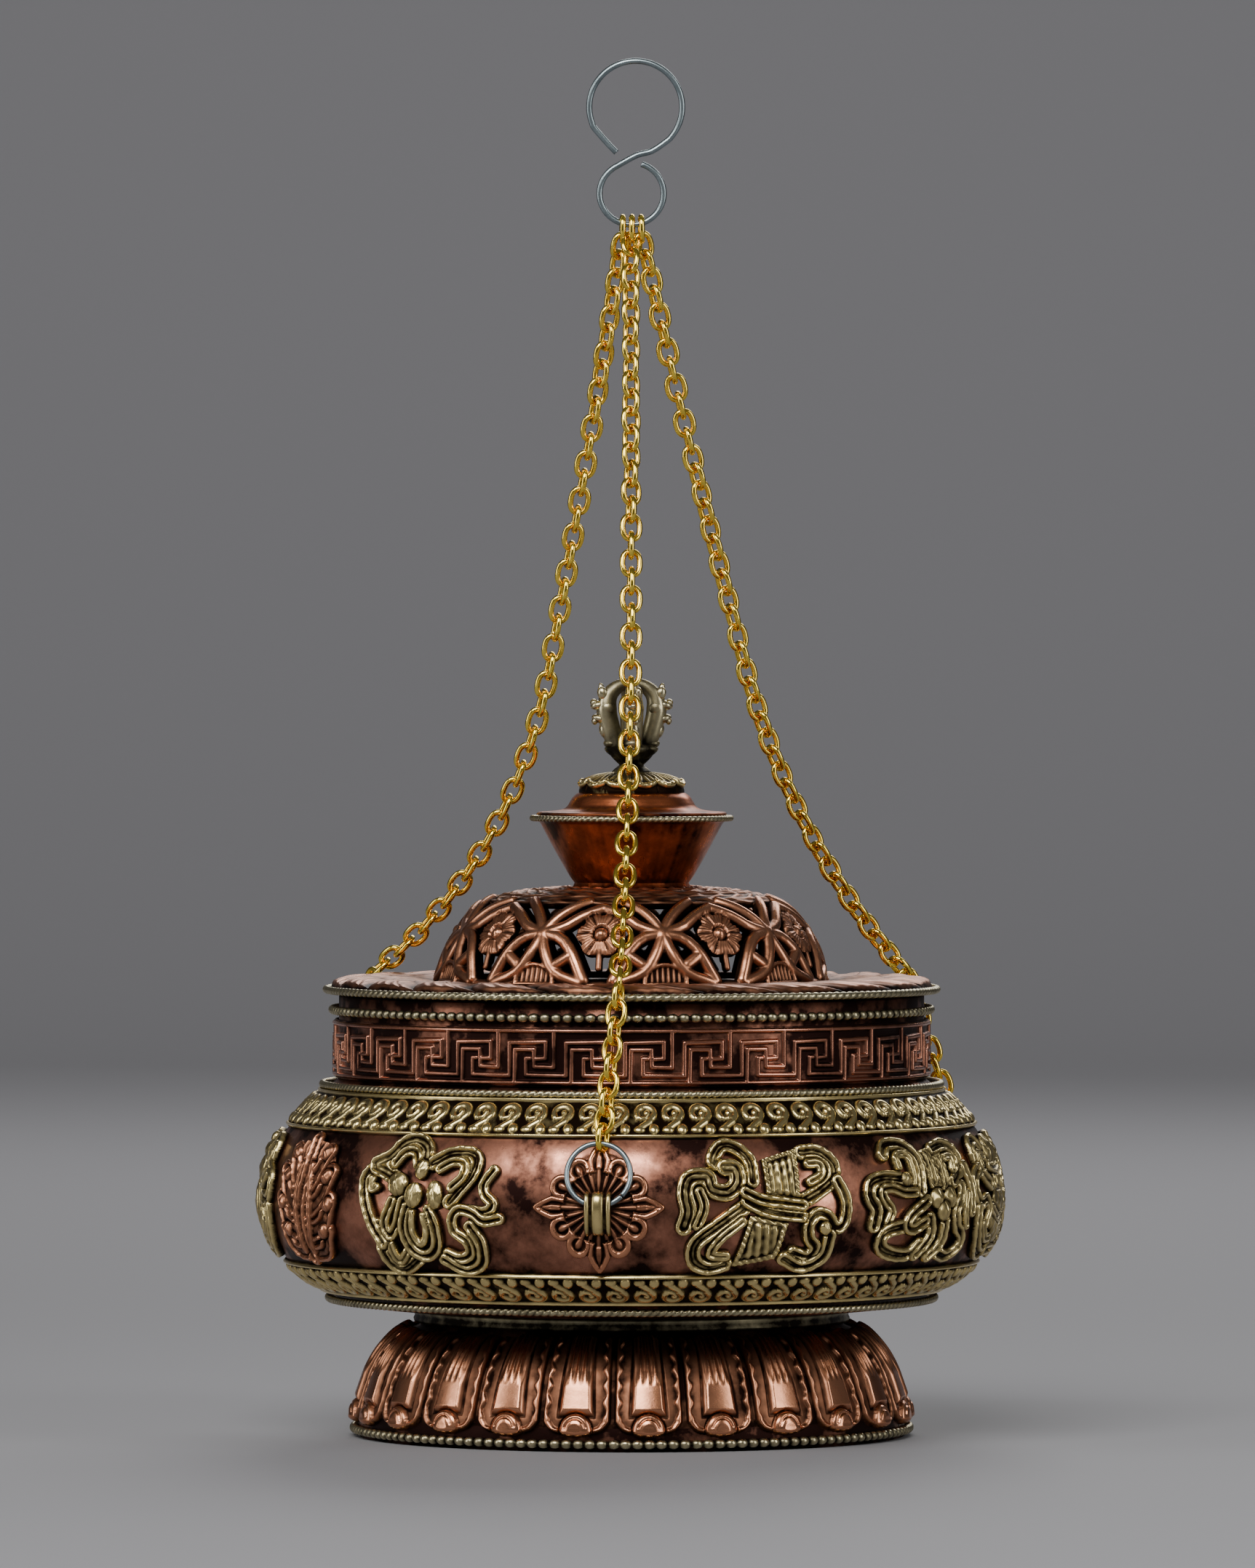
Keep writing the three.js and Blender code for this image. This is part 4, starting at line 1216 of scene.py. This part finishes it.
# %% The three signs that face the front
parasol = Drawing()
parasol.ribbon([(-3.5, -12.8), (-9.3, -16), (-12.8, -13.1), (-13.8, -8.1), (-14.5, -5)], 1.9)
parasol.ribbon([(-6.0, -11.0), (-9.3, -13.4), (-11.2, -8.5)], 1.3)
parasol.ribbon([(-15.9, 9), (-18.6, 6.1), (-18.6, 2.3), (-17.6, -1.2), (-15.9, -5.1), (-13.2, -9)], 1.8)
parasol.ribbon([(-15.9, 7.0), (-16.3, 3.4), (-14.6, 3.8)], 1.1)
parasol.ribbon([(-8.9, 5.8), (-12.6, 7.6), (-16.0, 9.0), (-11.6, 11.2), (-8.7, 14.6), (-5.2, 15.6),
                (-1.9, 13.8), (-1.0, 10.5)], 2.1)
parasol.ribbon([(-9.8, 9.6), (-7.4, 12.4), (-4.4, 12.3), (-3.2, 9.4)], 1.5)
parasol.ribbon([(1.0, 9.8), (5.5, 12.2), (10.5, 12.4), (12.5, 10.6), (11.9, 7), (9.6, 4.1),
                (6.7, 0.8)], 1.9)
parasol.ribbon([(3.2, 8.5), (6.4, 10.2), (9.5, 9.8), (9.6, 6.8), (7.0, 4.2)], 1.4)
parasol.ribbon([(17.4, 8.4), (15.4, 5.0), (16.0, 2.6), (18.0, 0.6), (16.2, -1.2), (11.5, -1.0)], 1.5)
parasol.ribbon([(19.6, -2.8), (15.6, -3.4), (12.8, -1.6), (9.3, -0.9), (7.5, -3), (8.0, -5.9),
                (11.0, -8), (11.4, -10.9), (8.3, -12.3), (5.2, -11.2)], 1.5)
parasol.ribbon([(12.0, -4.6), (14.5, -8.6), (13.6, -13.4), (8.8, -15.7), (3.9, -12.6)], 1.6)
parasol.ribbon([(-9.6, 0.8), (-12.0, -4.1), (-10.6, -7.2), (-8.2, -4.6), (-6.4, 0.9)], 1.5)
parasol.ribbon([(-5.2, -0.8), (-6.4, -5.6), (-4.4, -10.4), (-0.8, -11.9), (2.6, -9.6), (2.6, -5.0),
                (0.9, -1.2)], 1.6)
parasol.ribbon([(-3.6, -1.6), (-3.6, -6.4), (-1.4, -9.0), (0.2, -6.2), (-0.6, -2.4)], 1.0)
parasol.pod(2.6, 2.4, 2.2, 3.5, 0.15)
parasol.pod(-1.7, 8.2, 1.9, 2.5, -0.3)
parasol.pod(-8.2, 4.6, 3.1, 2.9, 0.2)
parasol.pod(-3.4, 2.2, 2.6, 3.1, -0.15)
parasol.hole(-6.1, 9.2, 0.9)
parasol.hole(7.0, 7.4, 0.85)
parasol.fit("sign_parasol", -33, "aged_brass", "symbol_parasol")

banner = Drawing()
banner.ribbon([(-10.3, 9.5), (-12.6, 10.9), (-10.3, 14.4), (-7.2, 14.4), (-3.9, 11), (-3.6, 6.0)], 1.9)
banner.ribbon([(-20.4, -4.4), (-19.4, -1), (-20.0, 3), (-18.7, 6.6), (-14.6, 7.1), (-13.6, 4.2),
               (-10, 3.4), (-7.4, 5.6), (-7.6, 8.9), (-10, 9.2)], 2.2)
banner.ribbon([(-17.2, -4.2), (-15.6, 0.2), (-16.6, 3.6)], 1.4)
banner.ribbon([(-5.6, 0.2), (-12.6, -4.5), (-17.4, -8.4), (-17.2, -12.4), (-13.6, -14.6),
               (-9.7, -13.6)], 2.0)
banner.ribbon([(-6.4, -3.4), (-11.6, -7.4), (-13.6, -10.8), (-9.8, -11.4)], 1.3)
banner.ribbon([(9.6, 12.6), (14, 12.6), (17.6, 9.8), (17.6, 6.4), (13.6, 3.4), (9.6, 1.4)], 2.0)
banner.ribbon([(11.0, 9.8), (13.9, 9.6), (14.2, 7.2), (11.2, 5.6)], 1.3)
banner.ribbon([(18.6, 5.6), (20.8, 1.0), (20.2, -3.8), (17.9, -5.2), (15.6, -2.4), (12.6, -1.8),
               (10.6, -4.2), (10.8, -7.4), (12.6, -9.6), (10.9, -11.8), (6.8, -10.8)], 1.7)
banner.ribbon([(16.4, -7.0), (15.0, -12), (10, -14.6), (4.6, -12.2)], 1.8)
banner.pod(15.0, -5.2, 1.7, 1.7, 0, 1)
banner.panel([(-0.3, 2.0), (-0.9, 11.2), (8.4, 13.8), (8.4, 0.2)], 5)
banner.panel([(-8.2, -14.2), (-4.6, -1.8), (5.4, -3.6), (2.6, -12.2)], 5)
banner.ribbon([(-5.3, 1.4), (-1.2, -0.6), (3.0, -1.6), (8.6, -2.2)], 1.7)
banner.ribbon([(-5.6, 3.4), (-1.4, 1.6), (3.6, 0.9), (9.0, 0.2)], 1.5)
banner.hole(10.6, 7.4, 0.9)
banner.fit("sign_banner", 21, "aged_brass", "symbol_banner")

fishes = Drawing()
fishes.ribbon([(-13.4, 11.4), (-11.2, 13.9), (-6.3, 13.7), (-3.2, 11.6), (-1.9, 8.3), (-2.6, 2.4)], 1.8)
fishes.ribbon([(-9.4, 8.3), (-9.4, 10.9), (-5.8, 11), (-4.8, 7.7), (-5.3, 3.4)], 1.2)
fishes.ribbon([(-19.0, -5.0), (-18.4, -1.3), (-20.2, 1.6), (-19.1, 4.8), (-15, 5.9), (-10.9, 5.6),
               (-7.4, 5.0)], 1.9)
fishes.ribbon([(-14.6, -4.4), (-13.4, -1.6), (-15.6, 0.8), (-16.0, 3.0), (-12.8, 3.4), (-8.9, 2.3),
               (-5, 2.2)], 1.4)
fishes.pod(-7.6, 5.4, 1.8, 1.8, 0, 1)
fishes.ribbon([(5.2, 12.2), (10.6, 13.1), (15.2, 10.9), (15.2, 7.2), (11.4, 4.3)], 1.9)
fishes.ribbon([(8.6, 9.9), (11.8, 9.9), (11.8, 7.2)], 1.2)
fishes.ribbon([(18.0, 7.5), (20.0, 2.9), (20.0, -2.9)], 1.7)
fishes.ribbon([(14.8, 2.8), (14.5, 0.4), (11.9, -2.6), (12.8, -6.4), (15.2, -8.2), (15.6, -10.8),
               (11.3, -13.4), (6.9, -12.6)], 1.8)
fishes.ribbon([(17.4, 1.2), (16.4, -2.6), (17.2, -6.2)], 1.3)
fishes.ribbon([(-4.6, -4.9), (-14.6, -6.6), (-15.8, -9.9), (-11.3, -11.9), (-5.6, -12.3),
               (-2.6, -10.0)], 1.9)
fishes.ribbon([(0.6, -4), (1.2, -8), (-2.6, -12.4)], 1.8)
fishes.ribbon([(7.0, -4.5), (6.2, -9.9), (2.8, -13.1)], 1.8)
fishes.ribbon([(-0.6, 0.2), (-6.0, -2.6), (-8.0, -5.1), (-5.6, -6.3), (-1.3, -4.6)], 1.6)
fishes.panel([(5.9, 2.2), (3.9, 10.6), (8.2, 11.4), (10.2, 2.6)], 3, 0.9)
fishes.panel([(1.4, 2.8), (-1.3, 12.0), (3.3, 12.8), (6.0, 3.2)], 3, 0.9)
for x, y in ((8.9, 0.6), (3.4, 0.6), (6.1, -2.4)):
    fishes.pod(x, y, 2.7, 2.5, 0.1, 2)
fishes.fit("sign_fishes", 52, "aged_brass", "symbol_fishes")


# %% The five signs at the sides and back
def ribbons_round(drawing):
    """The silk ribbons that frame a sign, the same on both sides."""
    for side in (-1, 1):
        def there(line):
            return [(side * x, y) for x, y in line]
        drawing.ribbon(there([(6.5, 9.5), (10.2, 13.6), (14.0, 12.4), (14.6, 8.2), (11.0, 4.6),
                              (7.2, 2.8)]), 1.9)
        drawing.ribbon(there([(9.4, 9.4), (12.0, 10.2), (11.6, 7.4)]), 1.2)
        drawing.ribbon(there([(15.0, 6.6), (18.6, 4.2), (18.2, 0.2), (15.2, -1.4), (12.0, -0.6),
                              (9.6, -3.0), (11.4, -6.6)]), 1.7)
        drawing.ribbon(there([(17.0, -2.8), (16.6, -7.8), (12.4, -12.4), (7.2, -14.0), (3.2, -11.8)]), 1.9)
        drawing.ribbon(there([(13.4, -6.4), (10.2, -9.6), (6.0, -9.8)]), 1.3)


conch = Drawing()
ribbons_round(conch)
conch.ribbon([(-6.5, -8), (-2.0, -11.6), (4.6, -9.8), (7.4, -4.2)], 2.0)
conch.pod(0.4, -2.4, 6.6, 7.6, 0.5, 5)
conch.pod(-1.2, 6.0, 4.4, 3.6, 0.4, 3)
conch.pod(-2.4, 10.4, 2.7, 2.4, 0.3, 2)
conch.pod(-3.0, 13.3, 1.4, 1.6, 0.2, 1)
conch.ribbon([(2.8, -7.8), (4.6, -3.2), (3.2, 1.6)], 1.3)
conch.fit("sign_conch", -88, "aged_brass", "symbol_conch")

vase = Drawing()
ribbons_round(vase)
vase.pod(0, -4.4, 7.4, 7.2, 0, 5)
vase.ribbon([(-4.2, -13.2), (4.2, -13.2)], 1.7, False)
vase.panel([(-3.0, 1.2), (-3.6, 6.0), (3.6, 6.0), (3.0, 1.2)], 4, 0.8)
vase.ribbon([(-5.4, 7.2), (0, 6.2), (5.4, 7.2)], 1.5)
vase.pod(0, 11.0, 3.0, 4.0, 0, 3)
for x in (-4.2, 4.2):
    vase.pod(x, 10.2, 1.9, 2.8, 0.5 if x < 0 else -0.5, 2)
vase.ribbon([(-6.8, -3.0), (0, -5.4), (6.8, -3.0)], 1.4)
vase.fit("sign_vase", 79, "aged_brass", "symbol_vase")

knot = Drawing()
ribbons_round(knot)
for offset in (-5.4, 0, 5.4):
    shift, reach = offset * 0.5, 8.2 - abs(offset) * 0.2
    knot.ribbon([(shift - 7.6, -offset), (shift, reach), (7.6, 0.4 + offset * 0.6)], 1.25, False)
    knot.ribbon([(-7.6, -0.4 - offset * 0.6), (shift, -reach), (7.6 - shift, -offset * 0.2)], 1.25, False)
for x in (-4.6, 0, 4.6):
    knot.ribbon([(x - 4.6, -4.2), (x + 4.6, 4.6)], 1.2, False)
    knot.ribbon([(x - 4.6, 4.6), (x + 4.6, -4.2)], 1.2, False)
knot.pod(0, 11.6, 2.2, 2.6, 0, 2)
knot.pod(0, -11.2, 2.2, 2.6, 0, 2)
knot.fit("sign_knot", 143, "aged_brass", "symbol_knot")

wheel = Drawing()
ribbons_round(wheel)
RIM_RADIUS, SPOKES = 9.0, 8
rim_turns = np.linspace(0, math.tau, 33)
rim_line = [(RIM_RADIUS * math.cos(t), RIM_RADIUS * math.sin(t)) for t in rim_turns]
wheel.shapes.append((lambda u, v: 10.2 - np.hypot(u, v), lambda e, u, v: 0.35 + 0 * e))
for k in range(SPOKES):
    t = k * math.tau / SPOKES + 0.2
    wheel.pod(10.6 * math.cos(t), 10.6 * math.sin(t), 1.5, 1.5, 0, 1)
    wheel.ribbon([(0, 0), (8.4 * math.cos(t), 8.4 * math.sin(t))], 1.0, False)
wheel.ribbon(rim_line, 1.5, False)
wheel.pod(0, 0, 3.0, 3.0, 0, 2)
wheel.fit("sign_wheel", 173, "aged_brass", "symbol_wheel")

lotus = Drawing()
ribbons_round(lotus)
for lean, reach, half in (
    (-1.25, 8.4, 2.5), (1.25, 8.4, 2.5), (-0.85, 9.2, 2.7), (0.85, 9.2, 2.7), (-0.42, 9.8, 2.9),
    (0.42, 9.8, 2.9), (0, 10.4, 3.0),
):
    x, y = math.sin(lean) * reach * 0.55, -2.6 + math.cos(lean) * reach * 0.6
    lotus.pod(x, y, half, reach * 0.52, lean)
lotus.pod(0, -4.0, 4.6, 3.0, 0, 4)
lotus.ribbon([(0, -6), (-1.6, -10), (1.2, -13.6)], 1.5)
lotus.fit("sign_lotus", 203, "aged_brass", "symbol_lotus")


# %% Rosettes and the leaf
TIP, WIDEST = 15.6, 11.0  # how far out a tip ends, and where it is widest


def rosette_parts(x, y):
    """How far inside the twelve-lobed rosette, its nearest tip and its nearest side lobe a place is,
    and its distance from the middle line of the tip."""
    p, q = np.maximum(np.abs(x), np.abs(y)), np.minimum(np.abs(x), np.abs(y))
    outer = np.clip((TIP - p) / (TIP - WIDEST), 0, 1) ** 0.62
    inner = np.sqrt(np.clip(1 - ((WIDEST - p) / 5.4) ** 2, 0, 1))
    tip = np.minimum(2.9 * np.where(p > WIDEST, outer, inner) - q, TIP - p)
    side = 3.1 - np.hypot(p - 8.5, q - 4.6)
    return np.maximum(np.maximum(tip, side), 9.7 - np.hypot(x, y)), tip, side, q


def rosette_height(x, y):
    """A rim round every lobe, flutes in the disc and grooves between the lobes."""
    edge, tip, side, q = rosette_parts(x, y)
    rho, angle = np.hypot(x, y), np.arctan2(y, x)
    rim = ridge(edge - 0.8, 0.8) * 0.95
    second = ridge(tip - 2.2, 0.5) * 0.25 * (rho > 9) + np.clip(side - 1.5, 0, 1) * 0.3 * (rho > 8)
    fade = np.clip((rho - 2) / 3, 0, 1) * np.clip((12.5 - rho) / 3, 0, 1)
    flutes = (0.5 + 0.5 * np.cos(angle * 24)) * fade
    vein = ridge(q, 0.6) * 0.3 * (rho > 9) * (rho < 14)
    between = np.clip(1 - np.abs(tip - side) / 0.45, 0, 1) * (rho > 7.5) * 0.55
    cup = 0.35 * np.clip((rho - 4) / 9, 0, 1)
    return np.clip(0.55 + cup + rim + second + 0.5 * flutes * (edge > 1.2) + vein - between, 0.1, None)


for side_name, azimuth in STATIONS.items():
    cut_plate(f"rosette_plate_{side_name}", (-17, 17), (-17, 17), 0.2,
              lambda u, v: rosette_parts(u, v)[0], rosette_height, on_bowl(azimuth), PLATE, "bowl",
              "bright_copper", cells=7, gain=2.2, base=0.26, replaces=[f"rosette_{side_name}"])

leaf = Drawing()
leaf.shapes.append((lambda u, v: 12.6 - (np.abs(u) ** 3 + np.abs(0.88 * v) ** 3) ** (1 / 3),
                    lambda e, u, v: 0.9 + 0.3 * np.cos(u * 2.6 + 1.4 * np.sin(v * 0.7))))
for half, line in (
    (2.3, [(1, -13), (7.5, -12), (10.5, -7)]),
    (2.5, [(2, -8), (9, -5.5), (12, 0)]),
    (2.5, [(2, -3), (8, 0.5), (11.4, 6.5)]),
    (2.4, [(1.5, 1.5), (5.5, 6), (8, 11.5)]),
):
    for side in (-1, 1):
        leaf.ribbon([(side * x, y) for x, y in line], half)
leaf.ribbon([(0, -14), (-1.2, -4), (0.6, 6), (0, 14.4)], 2.2)
for x in (-1, 1):
    for y in (-9.6, -3.2, 3.2, 8.8):
        leaf.pod(x * (12.0 - abs(y + 2) * 0.42), y + 2.4, 2.2, 1.8, x * 0.5, 2)
    leaf.ribbon([(x * 2.2, -12), (x * 3.4, -2), (x * 2.4, 8)], 1.1)
leaf.fit("leaf_plate", -61, "bright_copper", "leaf_plaque", 15.5, 16.8)


# %% [markdown]
# ## Lugs
# A strap of brass holds each ring. It is bent out over the ring's wire and both its ends go
# through the rosette, where they are riveted. It has a bright rib along each edge and one in the
# middle.

# %% Strap lugs
strap_side = spline([
    (89.6, 52.9), (91.4, 52.7), (93.6, 54.2), (94.5, 57.2), (94.5, 60.4), (93.6, 62.6),
    (91.6, 63.3), (89.7, 62.9),
], 44)
strap_normals = profile_normals(strap_side)
rows, half_round = len(strap_side), 40
around = 2 * half_round
x = np.linspace(-3.15, 3.15, half_round)
ribs = (ridge(np.abs(x) - 2.6, 0.55) * 0.55 + ridge(x, 1.35) * 0.6)[None]
front = strap_side[:, None] + strap_normals[:, None] * (ribs - 0.55)[..., None]
back = strap_side[:, None] - strap_normals[:, None] * np.full((1, half_round, 1), 1.1)
section = np.concatenate([front, back[:, ::-1]], axis=1)
across_all = np.concatenate([x, x[::-1]])[None] + np.zeros((rows, 1))
local = np.stack([section[..., 0], across_all, section[..., 1]], -1).reshape(-1, 3)
strap_faces = grid_faces(rows, around).tolist()
strap_faces += [list(range(around))[::-1], list(range((rows - 1) * around, rows * around))]
strap_wear = np.concatenate([np.clip(ribs * 1.5, 0.05, 1), np.full((1, half_round), 0.1)], axis=1)
strap_wear = strap_wear + np.zeros((rows, 1))
for side_name, azimuth in STATIONS.items():
    make_piece(f"strap_lug_{side_name}", face_towards(local, azimuth), strap_faces, "bowl", "aged_brass",
               wear=strap_wear.ravel(), replaces=[f"lug_{side_name}"])


# %% [markdown]
# ## Inside
# The fire pan holds charcoal and incense. It isn't seen at rest, but it comes out when the lid is
# lifted, so it gets a rolled rim and soot. The nut under the cap is hidden and stays as it is.

# %% Fire pan
pan_side = spline([
    (0.5, 32.9), (37, 32.9), (41, 34.2), (50, 40.4), (59.7, 56), (62.6, 71.5), (62.9, 73.6),
], 90)
pan_inner = (pan_side - profile_normals(pan_side) * 1.05)[::-1]
pan_outline = np.vstack([pan_side[:-1], [(62.9, 74.0), (62.0, 74.0)], pan_inner[2:-1], [(0.5, 33.9)]])
pan_wear = np.interp(pan_outline[:, 1], [33, 60, 73, 74], [0.3, 0.35, 0.6, 0.9])
turned_piece("sooty_fire_pan", pan_outline, "pan", "sooty_iron", wear=pan_wear,
             replaces=["fire_pan"])
